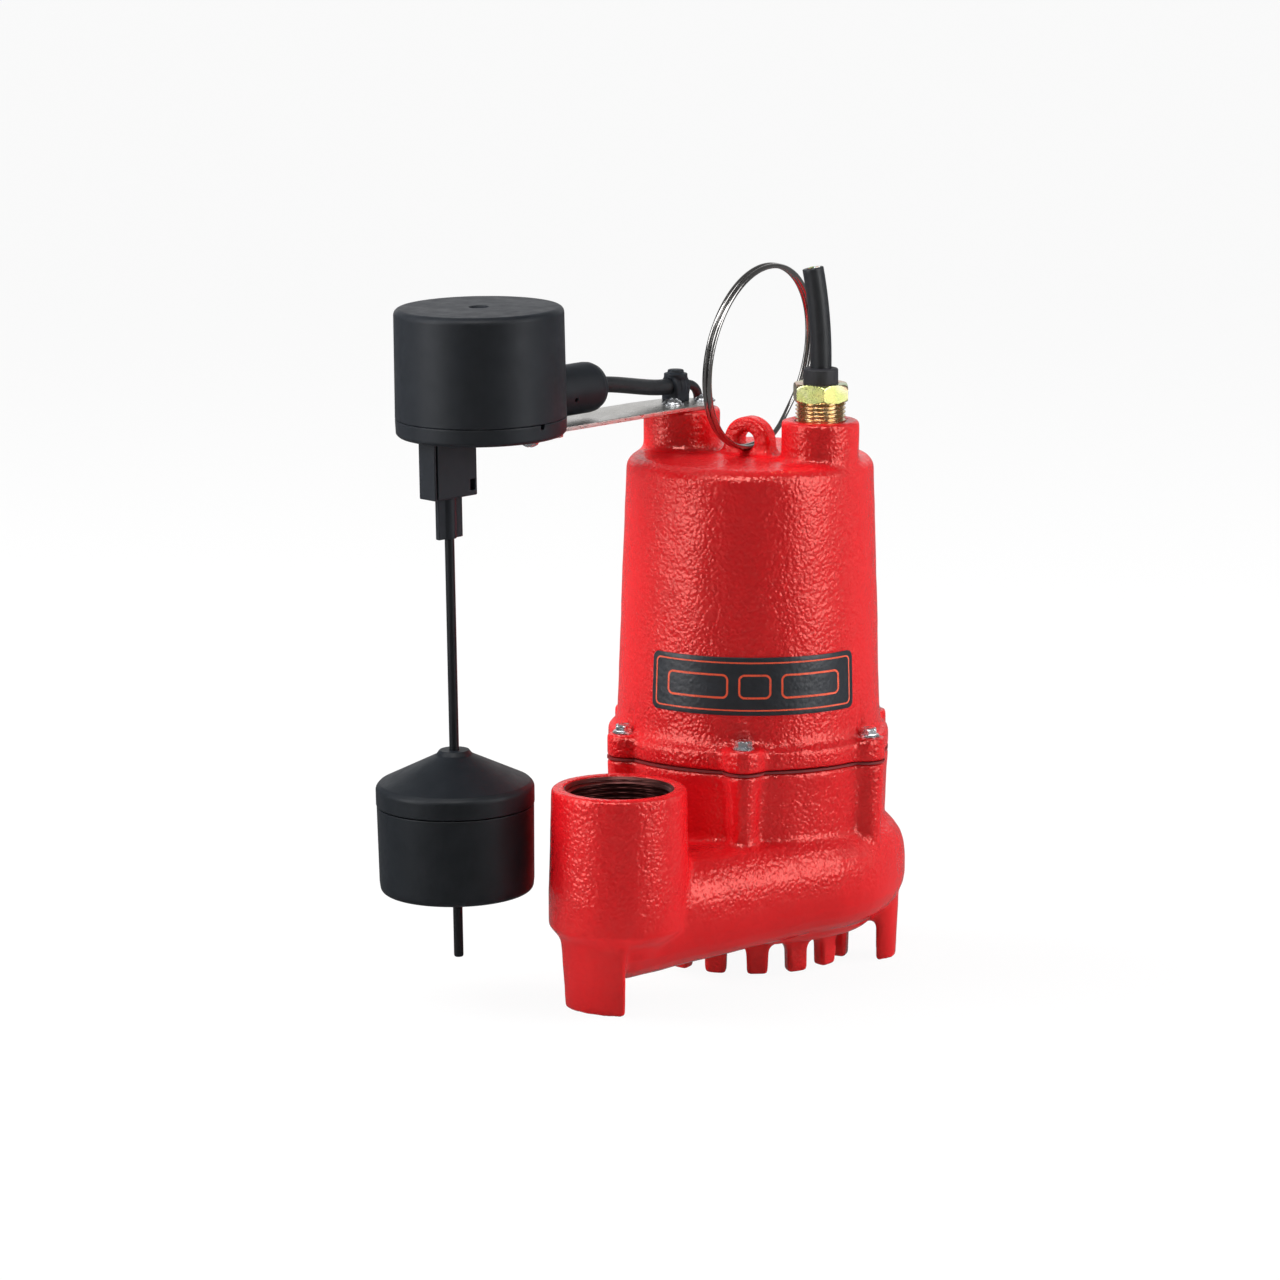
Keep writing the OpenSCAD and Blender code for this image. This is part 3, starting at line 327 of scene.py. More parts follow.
# the colours are the two that each material clouds between
MATERIAL = {
    "housing": red_enamel("red_enamel_housing"),
    "casing": red_enamel("red_enamel_casing", smooth_below=-0.052),
    "thread": metal("oiled_thread", (0.16, 0.060, 0.055), (0.10, 0.034, 0.032), rough=0.36,
                    scratch=(500, 500, 2200), depth=0.02),
    "gasket": rubber("gasket_rubber", (0.14, 0.005, 0.006), rough=0.6),
    "zinc": metal("zinc_plate", (0.80, 0.81, 0.83), (0.62, 0.64, 0.68), rough=0.24, depth=0.02),
    "label": label_print("label_print"),
    "stainless": metal("brushed_stainless", (0.76, 0.745, 0.72), (0.70, 0.685, 0.655), rough=0.30,
                       scratch=(1300, 120, 1300), depth=0.006, cloud=60.0, aniso=0.3),
    "spring": metal("bright_spring_wire", (0.44, 0.43, 0.42), (0.34, 0.33, 0.325), rough=0.17,
                    depth=0.006),
    "brass": metal("turned_brass", (0.76, 0.60, 0.38), (0.66, 0.46, 0.26), rough=0.22, depth=0.01),
    "chromate": chromate_metal("yellow_chromate"),
    "grommet": rubber("grommet_rubber", (0.014, 0.014, 0.017), rough=0.55),
    "cord": rubber("cord_jacket", (0.010, 0.011, 0.013), rough=0.42),
    "switch": plastic("switch_moulding", (0.0095, 0.0115, 0.0150), (0.0125, 0.0148, 0.0190),
                      rough=0.45, grain=1700.0),
    "guide": plastic("guide_moulding", (0.010, 0.012, 0.016), rough=0.46, grain=1400.0,
                     depth=0.03),
    "rod": plastic("rod_moulding", (0.007, 0.008, 0.010), rough=0.38, grain=1200.0),
    "float": plastic("float_moulding", (0.0060, 0.0080, 0.0108), (0.0090, 0.0112, 0.0145),
                     rough=0.44, grain=1100.0, depth=0.03),
    "copper_core": metal("copper_strands", (0.80, 0.38, 0.20), rough=0.3, depth=0.05),
    "black_wire": plastic("black_insulation", (0.012, 0.012, 0.013), rough=0.4),
    "white_wire": plastic("white_insulation", (0.75, 0.75, 0.72), rough=0.4),
    "green_wire": plastic("green_insulation", (0.02, 0.22, 0.05), rough=0.4),
    # inside the pump
    "grey_iron": metal("machined_grey_iron", (0.33, 0.33, 0.34), (0.24, 0.24, 0.25), rough=0.42,
                       depth=0.05),
    "laminate": laminated("stacked_laminations", (0.46, 0.47, 0.50)),
    "winding": wound_copper("varnished_winding"),
    "casting_al": metal("die_cast_aluminium", (0.76, 0.76, 0.78), (0.66, 0.66, 0.68), rough=0.38,
                        depth=0.05),
    "ground": metal("ground_steel", (0.66, 0.66, 0.68), rough=0.18, scratch=(2500, 2500, 300),
                    depth=0.008),
    "race": metal("bearing_steel", (0.72, 0.72, 0.74), rough=0.08, depth=0.003),
    "cage": metal("pressed_brass", (0.78, 0.60, 0.30), rough=0.28),
    "ceramic": plastic("lapped_ceramic", (0.80, 0.78, 0.70), (0.84, 0.82, 0.76), rough=0.20,
                       grain=900.0, depth=0.01),
    "carbon": plastic("seal_carbon", (0.018, 0.018, 0.02), rough=0.5, grain=900.0, depth=0.03),
    "bronze": metal("cast_bronze", (0.62, 0.45, 0.24), (0.46, 0.33, 0.17), rough=0.36, depth=0.06),
    "bakelite": plastic("bakelite_block", (0.016, 0.014, 0.014), rough=0.45, grain=900.0,
                        depth=0.03),
    "button": plastic("red_button", (0.55, 0.03, 0.02), rough=0.4, grain=900.0),
}


# ------------------------------------------------------------- mesh makers
# A mesh is a pair: its vertices in millimetres, and its faces.

def add_mesh(name, mesh, material, replaces=(), kind="floor", body="pump", sharp=50,
             weight=True, check=True):
    """Places a mesh as an object. check welds and cleans it; sharp is in degrees, 0 for none."""
    verts, faces = mesh
    me = bpy.data.meshes.new(name)
    me.from_pydata([tuple(v) for v in verts], [], [tuple(f) for f in faces])
    me.transform(place(kind))
    bm = bmesh.new()
    bm.from_mesh(me)
    if check:
        bmesh.ops.remove_doubles(bm, verts=bm.verts, dist=1e-7)
        bmesh.ops.dissolve_degenerate(bm, dist=1e-8, edges=bm.edges)
    bmesh.ops.recalc_face_normals(bm, faces=bm.faces)
    bm.to_mesh(me)
    bm.free()
    me.shade_smooth()
    if sharp:
        me.set_sharp_from_angle(angle=math.radians(sharp))
    me.materials.append(MATERIAL[material])
    o = bpy.data.objects.new(name, me)
    scene.collection.objects.link(o)
    if weight:
        modifier = o.modifiers.new("weighted", "WEIGHTED_NORMAL")
        modifier.keep_sharp = True
        modifier.weight = 60
    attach(o, body)
    if replaces:
        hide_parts(*replaces)
    return o


def unit(vector):
    return vector / np.linalg.norm(vector)


def rounded(points, step=14.0, closed=True):
    """A 2D outline with its corners rounded. A point is (x, y) or (x, y, radius), and step
    is the most degrees that one edge of a corner turns."""
    out, n = [], len(points)
    for i, point in enumerate(points):
        here = np.array(point[:2], float)
        radius = point[2] if len(point) > 2 else 0.0
        if radius <= 0 or (not closed and i in (0, n - 1)):
            out.append(tuple(here))
            continue
        back = np.array(points[(i - 1) % n][:2], float) - here
        ahead = np.array(points[(i + 1) % n][:2], float) - here
        back_length, ahead_length = np.linalg.norm(back), np.linalg.norm(ahead)
        back, ahead = back / back_length, ahead / ahead_length
        inner = math.acos(max(-1, min(1, float(back @ ahead))))
        turn = math.pi - inner
        if turn < math.radians(2):
            out.append(tuple(here))
            continue
        cut = min(radius / math.tan(inner / 2), 0.48 * back_length, 0.48 * ahead_length)
        r = cut * math.tan(inner / 2)
        centre = here + unit(back + ahead) * (r / math.sin(inner / 2))
        start, end = here + back * cut - centre, here + ahead * cut - centre
        count = max(2, int(math.ceil(math.degrees(turn) / step)))
        first, last = math.atan2(start[1], start[0]), math.atan2(end[1], end[0])
        sweep = (last - first + math.pi) % (2 * math.pi) - math.pi
        for j in range(count + 1):
            angle = first + sweep * j / count
            out.append((centre[0] + r * math.cos(angle), centre[1] + r * math.sin(angle)))
    return out


def lathe_mesh(profile, n=96, at=(0.0, 0.0), closed=True):
    """A solid turned about Z from (radius, z) points. A closed profile is a ring; an open one
    starts and ends on the axis."""
    verts, faces, rings = [], [], []
    circle = [(math.cos(2 * math.pi * k / n), math.sin(2 * math.pi * k / n)) for k in range(n)]
    for r, z in profile:
        if r < 1e-6:
            rings.append([len(verts)])
            verts.append((at[0], at[1], z))
        else:
            rings.append(list(range(len(verts), len(verts) + n)))
            verts += [(at[0] + r * c, at[1] + r * s, z) for c, s in circle]
    for i in range(len(rings) if closed else len(rings) - 1):
        a, b = rings[i], rings[(i + 1) % len(rings)]
        for k in range(n):
            j = (k + 1) % n
            if len(a) == 1:
                faces.append((a[0], b[j], b[k]))
            elif len(b) == 1:
                faces.append((a[k], a[j], b[0]))
            else:
                faces.append((a[k], a[j], b[j], b[k]))
    return verts, faces


def cap_ends(verts, faces, count, n, centres):
    """Closes the first and last of count rings of n vertices with a fan to a centre point."""
    for i, centre, flip in ((0, centres[0], True), (count - 1, centres[1], False)):
        c = len(verts)
        verts.append(centre)
        for k in range(n):
            j = (k + 1) % n
            faces.append((c, i * n + j, i * n + k) if flip else (c, i * n + k, i * n + j))


def loft_mesh(rings, at=(0.0, 0.0), turn=0.0, closed=False):
    """A solid through rings of (z, radii), each with the same number of radii round Z. A closed
    loft joins its last ring to its first; an open one is capped."""
    n, m = len(rings[0][1]), len(rings)
    angles = [turn + 2 * math.pi * k / n for k in range(n)]
    verts = [(at[0] + r * math.cos(a), at[1] + r * math.sin(a), z)
             for z, radii in rings for r, a in zip(radii, angles)]
    faces = []
    for i in range(m if closed else m - 1):
        for k in range(n):
            j, i2 = (k + 1) % n, (i + 1) % m
            faces.append((i * n + k, i * n + j, i2 * n + j, i2 * n + k))
    if not closed:
        cap_ends(verts, faces, m, n, [(at[0], at[1], rings[i][0]) for i in (0, -1)])
    return verts, faces


def round_rings(stations, n):
    """Loft rings from (z, radius) stations."""
    return [(z, [r] * n) for z, r in stations]


def hex_rings(stations, corner, n):
    """Loft rings of a hexagon of that corner radius, from (z, largest radius) stations."""
    sixth = math.pi / 3
    radii = [corner * math.cos(sixth / 2) / math.cos((2 * math.pi * k / n) % sixth - sixth / 2)
             for k in range(n)]
    return [(z, [min(r, most) for r in radii]) for z, most in stations]


def tooth(turns, slope, flat):
    """A thread's form at a number of turns: 0 through 1, higher slopes being steeper."""
    return min(1.0, max(0.0, abs(turns % 1.0 - 0.5) * slope - flat))


def tube_mesh(path, radius, n, cap):
    """A round tube along a path, with its ends rounded by cap. radius is one or one per point."""
    p = np.array(path, float)
    r = np.full(len(p), radius, float)
    start, end = unit(p[1] - p[0]), unit(p[-1] - p[-2])
    steps = [math.radians(a) for a in (0, 22, 45, 68, 86)]
    head = [p[0] + start * cap * (1 - math.sin(a)) for a in reversed(steps)]
    tail = [p[-1] - end * cap * (1 - math.sin(a)) for a in steps]
    head_r = [r[0] - cap * (1 - math.cos(a)) for a in reversed(steps)]
    tail_r = [r[-1] - cap * (1 - math.cos(a)) for a in steps]
    p = np.vstack([head, p[1:-1], tail])
    r = np.concatenate([head_r, r[1:-1], tail_r])
    m = len(p)
    way = np.zeros_like(p)
    for i in range(m):
        step = p[min(i + 1, m - 1)] - p[max(i - 1, 0)]
        way[i] = step / max(np.linalg.norm(step), 1e-12)
    ref = np.array([0.0, 0.0, 1.0]) if abs(way[0][2]) < 0.8 else np.array([1.0, 0.0, 0.0])
    u = unit(ref - (ref @ way[0]) * way[0])
    verts, faces = [], []
    for i in range(m):
        u = unit(u - (u @ way[i]) * way[i])
        w = np.cross(way[i], u)
        for k in range(n):
            a = 2 * math.pi * k / n
            verts.append(p[i] + r[i] * (math.cos(a) * u + math.sin(a) * w))
    for i in range(m - 1):
        for k in range(n):
            j = (k + 1) % n
            faces.append((i * n + k, i * n + j, (i + 1) * n + j, (i + 1) * n + k))
    cap_ends(verts, faces, m, n, (p[0], p[-1]))
    return verts, faces


def plate(outline, z0, z1, edge, seg=3):
    """A flat plate with edges rounded by edge, in seg steps."""
    rings, n = [], len(outline)
    pts = np.array(outline, float)
    area = 0.5 * sum(pts[i][0] * pts[(i + 1) % n][1] - pts[(i + 1) % n][0] * pts[i][1]
                     for i in range(n))
    if area < 0:
        pts = pts[::-1]
    outward = np.zeros_like(pts)
    for i in range(n):
        a, b = pts[i] - pts[i - 1], pts[(i + 1) % n] - pts[i]
        na = np.array([a[1], -a[0]]) / max(np.linalg.norm(a), 1e-9)
        nb = np.array([b[1], -b[0]]) / max(np.linalg.norm(b), 1e-9)
        s = na + nb
        s /= max(np.linalg.norm(s), 1e-9)
        outward[i] = s / max(float(s @ na), 0.5)
    angles = [math.pi / 2 * k / seg for k in range(seg + 1)]
    for a in angles:                     # bottom edge, from the flat out to the side
        rings.append((z0 + edge * (1 - math.cos(a)), pts - outward * edge * (1 - math.sin(a))))
    for a in angles:
        rings.append((z1 - edge + edge * math.sin(a), pts - outward * edge * (1 - math.cos(a))))
    verts = [(x, y, z) for z, ring in rings for x, y in ring]
    faces = [(i * n + k, i * n + (k + 1) % n, (i + 1) * n + (k + 1) % n, (i + 1) * n + k)
             for i in range(len(rings) - 1) for k in range(n)]
    faces.append(tuple(reversed(range(n))))
    faces.append(tuple(range((len(rings) - 1) * n, len(rings) * n)))
    return verts, faces


def join(meshes):
    verts, faces = [], []
    for v, f in meshes:
        base = len(verts)
        verts += v
        faces += [tuple(i + base for i in face) for face in f]
    return verts, faces


# ---------------------------------------------------- distance field makers

def level_set(points, tris, quads, voxel, band):
    faces = {key: np.ascontiguousarray(part, np.uint32)
             for key, part in (("triangles", tris), ("quads", quads)) if len(part)}
    return vdb.FloatGrid.createLevelSetFromPolygons(
        points=np.ascontiguousarray(points, np.float32), halfWidth=float(band),
        transform=vdb.createLinearTransform(voxelSize=voxel), **faces)


def offset_steps(points, tris, voxel, steps):
    """Moves a closed surface out (+) and in (-) by each distance in turn. Out then in fills
    inside corners with a fillet, and in then out rounds outside corners."""
    quads = ()
    for distance in steps:
        grid = level_set(points, tris, quads, voxel, max(abs(distance) / voxel + 2.5, 3))
        points, tris, quads = grid.convertToPolygons(isovalue=float(distance), adaptivity=0.0)
    return points, tris, quads


def dense(grid, voxel):
    """A grid as an array, with its first index and the positions along each axis."""
    lo, hi = grid.evalActiveVoxelBoundingBox()
    lo, hi = np.array(lo) - 2, np.array(hi) + 2
    a = np.zeros(tuple(hi - lo + 1), np.float32)
    grid.copyToArray(a, ijk=tuple(int(x) for x in lo))
    axes = [(np.arange(lo[i], hi[i] + 1) * voxel).astype(np.float32) for i in range(3)]
    return a, lo, axes


def surface(a, lo, voxel, background):
    """The mesh where an array of distances is zero."""
    grid = vdb.FloatGrid(float(background))
    grid.transform = vdb.createLinearTransform(voxelSize=voxel)
    grid.copyFromArray(np.ascontiguousarray(a, np.float32), ijk=tuple(int(x) for x in lo))
    points, tris, quads = grid.convertToPolygons(isovalue=0.0, adaptivity=0.0)
    return points, [tuple(int(i) for i in reversed(f)) for part in (quads, tris) for f in part]


def smooth_max(a, b, k):
    h = np.clip(0.5 - 0.5 * (b - a) / k, 0, 1)
    return b * (1 - h) + a * h + k * h * (1 - h)


def smooth_min(a, b, k):
    return -smooth_max(-a, -b, k)


def field_piece(name, field, lo, hi, voxel, material, replaces=(),
                kind="switch", body="pump", sharp=0):
    """A piece from a signed distance function in millimetres, sampled between two corners."""
    lo, hi = np.array(lo, float) - 2.5 * voxel, np.array(hi, float) + 2.5 * voxel
    i0 = np.floor(lo / voxel).astype(int)
    i1 = np.ceil(hi / voxel).astype(int)
    axes = [np.arange(i0[k], i1[k] + 1) * voxel for k in range(3)]
    x, y, z = np.meshgrid(*axes, indexing="ij")
    a = np.clip(field(x, y, z), -3 * voxel, 3 * voxel).astype(np.float32)
    return add_mesh(name, surface(a, i0, voxel, 3 * voxel), material, replaces, kind, body,
                    sharp=sharp, weight=False, check=False)


def box(x, y, z, centre, half, edge):
    """Distance from a box with rounded edges."""
    q = [np.abs(v - centre[i]) - (half[i] - edge) for i, v in enumerate((x, y, z))]
    out = np.sqrt(sum(np.maximum(v, 0) ** 2 for v in q))
    return out + np.minimum(np.maximum(q[0], np.maximum(q[1], q[2])), 0) - edge


def cylinder(x, y, z, centre, radius, half, edge, axis=2):
    """Distance from a cylinder with rounded edges."""
    v = [x - centre[0], y - centre[1], z - centre[2]]
    along = v.pop(axis)
    d0 = np.sqrt(v[0] ** 2 + v[1] ** 2) - (radius - edge)
    d1 = np.abs(along) - (half - edge)
    outside = np.sqrt(np.maximum(d0, 0) ** 2 + np.maximum(d1, 0) ** 2)
    return outside + np.minimum(np.maximum(d0, d1), 0) - edge


def turned(rad, z, outline):
    """Distance from a polygon in the (radius, height) plane."""
    pts = np.array(outline, float)
    d = np.full(rad.shape, 1e9)
    inside = np.zeros(rad.shape, bool)
    for i in range(len(pts)):
        a, b = pts[i], pts[(i + 1) % len(pts)]
        e = b - a
        wx, wz = rad - a[0], z - a[1]
        t = np.clip((wx * e[0] + wz * e[1]) / (e @ e), 0, 1)
        d = np.minimum(d, (wx - t * e[0]) ** 2 + (wz - t * e[1]) ** 2)
        crossing = (b[0] - a[0]) * (z - a[1]) / (b[1] - a[1] + 1e-12) + a[0]
        inside ^= ((a[1] > z) != (b[1] > z)) & (rad < crossing)
    return np.where(inside, -1, 1) * np.sqrt(d)


def cut_cross(field, x, y, z, turn, middle, half, edge, blend):
    """Cuts a cross recess, turned by some degrees and centred at a height."""
    for angle in (turn, turn + 90):
        c, s = math.cos(math.radians(angle)), math.sin(math.radians(angle))
        arm = box(x * c + y * s, -x * s + y * c, z, centre=(0, 0, middle), half=half, edge=edge)
        field = smooth_max(field, -arm, blend)
    return field


# ---------------------------------------------------------------- castings

CAST_VOXEL = by_quality(full=0.75)
CAST_STEPS = (2.6, -3.0, 0.4)       # fillets the inside corners, then rounds the outside ones


def cad_mesh(node):
    """A CAD node's welded points in floor frame millimetres, and its triangles."""
    bm = bmesh.new()
    bm.from_mesh(nodes[node].data)
    bmesh.ops.remove_doubles(bm, verts=bm.verts, dist=2e-7)
    bmesh.ops.triangulate(bm, faces=bm.faces)
    co = np.array([v.co[:] for v in bm.verts], float) / MM - np.array([0, PORT_Y, -PORT_Z])
    tri = np.array([[v.index for v in f.verts] for f in bm.faces], np.uint32)
    bm.free()
    return co, tri


def waves(points, seed, length, height):
    """A smooth unevenness of a few sines, so that a casting isn't optically perfect."""
    rng = np.random.RandomState(seed)
    out = np.zeros(len(points))
    for _ in range(14):
        k = rng.normal(size=3)
        k *= 2 * math.pi / (length * rng.uniform(0.7, 1.6)) / np.linalg.norm(k)
        out += np.sin(points @ k + rng.uniform(0, 6.28))
    return out * height / 3.0


def vertex_array(me, key):
    values = np.zeros(len(me.vertices) * 3, np.float32)
    me.vertices.foreach_get(key, values)
    return values.reshape(-1, 3)


def cast(node, name, material, seed, cut=None):
    """A CAD node with softened corners and an uneven skin. cut changes its distance field."""
    points, tris, quads = offset_steps(*cad_mesh(node), CAST_VOXEL, CAST_STEPS)
    a, lo, axes = dense(level_set(points, tris, quads, CAST_VOXEL, band=4), CAST_VOXEL)
    if cut is not None:
        a = cut(a, axes)
    # one light blur of the field takes the grid's trace out of the surface
    for axis in range(3):
        a = 0.25 * np.roll(a, 1, axis) + 0.5 * a + 0.25 * np.roll(a, -1, axis)
    points, faces = surface(a, lo, CAST_VOXEL, a.max())
    points = np.array(points, float)
    uneven = (waves(points, seed, length=34.0, height=0.10)
              + waves(points, seed + 7, length=11.0, height=0.035))
    o = add_mesh(name, (points, faces), material, (node,), sharp=0, weight=False,
                 check=False)
    normal, co = vertex_array(o.data, "normal"), vertex_array(o.data, "co")
    # flat level faces mostly keep their place
    flat = np.abs(normal[:, 2]) > 0.985
    co += normal * (uneven * MM * np.where(flat, 0.15, 1.0))[:, None]
    o.data.vertices.foreach_set("co", co.ravel())
    o.data.update()


def port_cut(a, axes):
    """Bores the discharge port for its thread."""
    bore, bottom, top, blend = 24.2, 72.5, 120.0, 1.0
    x, y, z = axes[0][:, None, None], axes[1][None, :, None], axes[2][None, None, :]
    r = np.sqrt(x ** 2 + (y + PORT_Y) ** 2)
    hole = np.maximum(r - bore, np.maximum(bottom - z, z - top))
    return smooth_max(a, -hole, blend)


cast("motor_housing", "housing_casting", "housing", seed=3)
cast("volute_casing", "volute_casting", "casing", seed=5, cut=port_cut)


def discharge_thread():
    """A tapering right-hand internal thread with a lead-in chamfer, in a sleeve."""
    pitch, height, rise, n = 2.209, 25.0, 0.11, 144
    inset = 0.75                        # the first turn's depth below the port's top
    crest_r, taper, tooth_depth = 22.05, 1 / 32.0, 1.55
    lead_r, lead_slope = 24.25, 0.85
    sleeve_r, lip_r = 24.9, 24.27
    rings = []
    heights = [PORT_Z - inset - rise * i for i in range(int(height / rise))]
    for z in heights:
        depth = PORT_Z - z
        crest = crest_r - depth * taper
        lead = max(0.0, lead_r - (depth - inset) * lead_slope)
        rings.append((z, [max(crest + tooth_depth * tooth(z / pitch + k / n, 2.9, 0.22), lead)
                          for k in range(n)]))
    top = heights[0]
    rings += round_rings([(heights[-1], sleeve_r), (top, sleeve_r), (top, lip_r)], n)
    add_mesh("discharge_thread", loft_mesh(rings, at=(0, -PORT_Y), closed=True), "thread",
             weight=False)


discharge_thread()


# --------------------------------------------------------- flange and label

def flange_screws():
    """Six hexagon heads with washers, on a circle round the shaft."""
    circle_r, n = 64.2, 72
    # (z, radius) up the shank and over the washer
    washer = [(101.0, 2.4), (110.02, 2.4), (110.02, 4.6), (110.2, 4.9), (110.62, 4.92),
              (110.86, 4.72), (111.2, 4.35)]
    # (z, largest radius) up the head and into its shallow dished top
    head = [(111.32, 9), (111.6, 9), (113.1, 9), (113.45, 3.78), (113.75, 3.55), (113.98, 3.2),
            (114.08, 2.9), (114.1, 2.5), (114.02, 2.2), (113.85, 1.9), (113.8, 1.2)]
    rings = round_rings(washer, n) + hex_rings(head, corner=3.9, n=n)
    parts = []
    for i in range(6):
        a = math.radians(60 * i)
        at = (circle_r * math.cos(a), circle_r * math.sin(a))
        # each head stands 17 degrees further round than the one before
        parts.append(loft_mesh(rings, at, math.radians(17 * i + 60 * i)))
    add_mesh("flange_screw_heads", join(parts), "zinc", ("flange_screws",), sharp=28)


def label_panel():
    """A panel with rounded corners, wrapped on the housing's cone."""
    half_w, half_h, corner, rows = 51.0, 13.1, 3.2, 16
    middle_z, middle_angle, wrap_r = 137.5, math.radians(304.5), 60.0
    cone_z, cone_height, low_r, high_r = 115.0, 113.0, 60.2, 56.3
    insets = [corner * (1 - math.cos(math.radians(a))) for a in range(0, 91, 10)]
    columns = sorted(set([-half_w + inset for inset in insets] + [half_w - inset for inset in insets]
                         + list(np.linspace(-half_w + corner, half_w - corner, 61))))
    coords = []
    for x in columns:
        e = max(0.0, abs(x) - (half_w - corner))
        h = half_h - corner + math.sqrt(max(corner * corner - e * e, 0.0))
        coords += [(x, -h + 2 * h * j / rows) for j in range(rows + 1)]

    def layer(rise, shrink=0.0):
        out = []
        for x, y in coords:
            z = middle_z + y * (1 - shrink / half_h)
            r = low_r + (high_r - low_r) * (z - cone_z) / cone_height + rise
            angle = middle_angle + x * (1 - shrink / half_w) / wrap_r
            out.append((r * math.cos(angle), r * math.sin(angle), z))
        return out

    verts = layer(0.52, shrink=0.18) + layer(0.34) + layer(-0.6)
    nc, nr, size = len(columns), rows + 1, len(coords)
    cells = [(i * nr + j, (i + 1) * nr + j, (i + 1) * nr + j + 1, i * nr + j + 1)
             for i in range(nc - 1) for j in range(rows)]
    faces = cells + [tuple(2 * size + k for k in (a, d, c, b)) for a, b, c, d in cells]
    edge = ([i * nr for i in range(nc)] + [(nc - 1) * nr + j for j in range(1, nr)]
            + [i * nr + rows for i in range(nc - 2, -1, -1)] + list(range(rows - 1, 0, -1)))
    for k in range(len(edge)):
        a, b = edge[k], edge[(k + 1) % len(edge)]
        faces += [(a, a + size, b + size, b),
                  (a + size, a + 2 * size, b + 2 * size, b + size)]
    label = add_mesh("label_panel", (verts, faces), "label", ("nameplate",),
                     sharp=60, check=False)
    # the print's own coordinates, the same on all three layers
    panel = label.data.attributes.new("panel", "FLOAT_VECTOR", "POINT")
    flat = np.array([(x, y, 0.0) for x, y in coords * 3], np.float32)
    panel.data.foreach_set("vector", flat.ravel())


flange_screws()
label_panel()


# -------------------------------------------------------------- cord entry

def cord_connector():
    """A threaded brass tube. The thread is external."""
    pitch, crest_r, tooth_depth, n = 1.81, 11.35, 0.95, 96
    rings = round_rings([(244.0, 11.3)], n)
    for z in np.arange(252.2, 261.0, 0.12):
        rings.append((z, [crest_r - tooth_depth * tooth(z / pitch - k / n, 2.6, 0.15)
                          for k in range(n)]))
    # (z, radius) above the thread, then down the bore
    rings += round_rings([(261.3, 9.4), (266.3, 9.4), (266.5, 9.1), (266.5, 8.0), (255.0, 8.0),
                          (255.0, 5.0), (244.0, 5.0)], n)
    add_mesh("cord_connector_turned", loft_mesh(rings, (CORD_X, 0), closed=True), "brass",
             ("cord_connector",), sharp=40, weight=False)


def gland_nut():
    n = 144
    # (z, largest radius) up the outside
    outside = [(261.06, 11.9), (261.2, 12.15), (261.5, 12.75), (261.8, 13.2), (262.2, 13.38),
               (262.7, 13.5), (264.0, 14), (266.5, 14), (267.4, 13.5), (267.8, 13.3),
               (268.2, 13.0), (268.6, 12.6), (269.0, 12.1), (269.2, 11.7), (269.25, 11.4)]
    # (z, radius) down the bore
    bore = [(269.25, 8.3), (269.0, 7.98), (266.6, 7.98), (266.6, 9.56), (261.3, 9.56),
            (261.06, 9.9)]
    rings = hex_rings(outside, corner=13.4, n=n) + round_rings(bore, n)
    add_mesh("gland_nut_turned", loft_mesh(rings, (CORD_X, 0), math.radians(8), closed=True),
             "chromate", ("gland_nut",), sharp=25)


def grommet():
    profile = rounded([(4.85, 255.1, 0.3), (7.85, 255.1, 0.3), (7.9, 270.5), (7.8, 275.9, 0.9),
                       (4.85, 276.2, 0.5)])
    add_mesh("grommet_moulded", lathe_mesh(profile, 64, (CORD_X, 0)), "grommet",
             ("cord_grommet",), sharp=40)


def power_cord():
    """A short length of cord that leans over a little, with three wires in its cut end."""
    path = [(CORD_X, 0, 226 + 4 * i) for i in range(13)]
    path += [(CORD_X - 3.4 * u * u, -2.2 * u * u, 278 + 43 * u) for u in np.linspace(0.04, 1, 24)]
    add_mesh("power_cord_jacket", tube_mesh(path, radius=4.8, n=44, cap=0.4), "cord",
             ("power_cord",), weight=False)
    wire_circle = 2.0
    tip = np.array(path[-1], float)
    way = unit(tip - np.array(path[-2], float))
    side = unit(np.cross(way, (0.3, 1, 0)))
    across = np.cross(way, side)
    for i, key in enumerate(("black_wire", "white_wire", "green_wire")):
        a = math.radians(90 + 120 * i)
        c = tip + wire_circle * (math.cos(a) * side + math.sin(a) * across)
        wire = tube_mesh([c - way * 3, c - way * 1.0, c + way * 0.25], radius=1.35, n=20, cap=0.15)
        add_mesh("cord_wire_%d" % (i + 1), wire, key, weight=False)
        strand = tube_mesh([c - way * 3, c, c + way * 0.36], radius=0.78, n=16, cap=0.12)
        add_mesh("cord_strand_%d" % (i + 1), strand, "copper_core", weight=False)


cord_connector()
gland_nut()
grommet()
power_cord()


# ------------------------------------------------------------ lifting ring

RING_R, RING_FOOT_Z, RING_SINK = 41.8, 240, 2.9     # the wire sinks below the foot's height
COIL_SHIFT = 1.2                # each coil's distance to one side of the ring's plane
CROSSING, CROSSING_LENGTH = 352, 36     # degrees round, where one coil steps to the other
RING_TWIST, RING_LEAN = math.radians(-1.5), math.radians(6.5)


def ring_point(degrees):
    u = min(max((degrees - CROSSING) / CROSSING_LENGTH, 0), 1)
    shift = -COIL_SHIFT + 2 * COIL_SHIFT * u * u * (3 - 2 * u)
    a = math.radians(degrees + 135)
    p = Vector((shift, RING_R * math.sin(a), RING_R * math.cos(a)))
    p = Matrix.Rotation(RING_TWIST, 3, "Z") @ p
    p = Matrix.Rotation(RING_LEAN, 3, "Y") @ (p + Vector((0, 0, RING_R - RING_SINK)))
    return (p.x, p.y, p.z + RING_FOOT_Z)


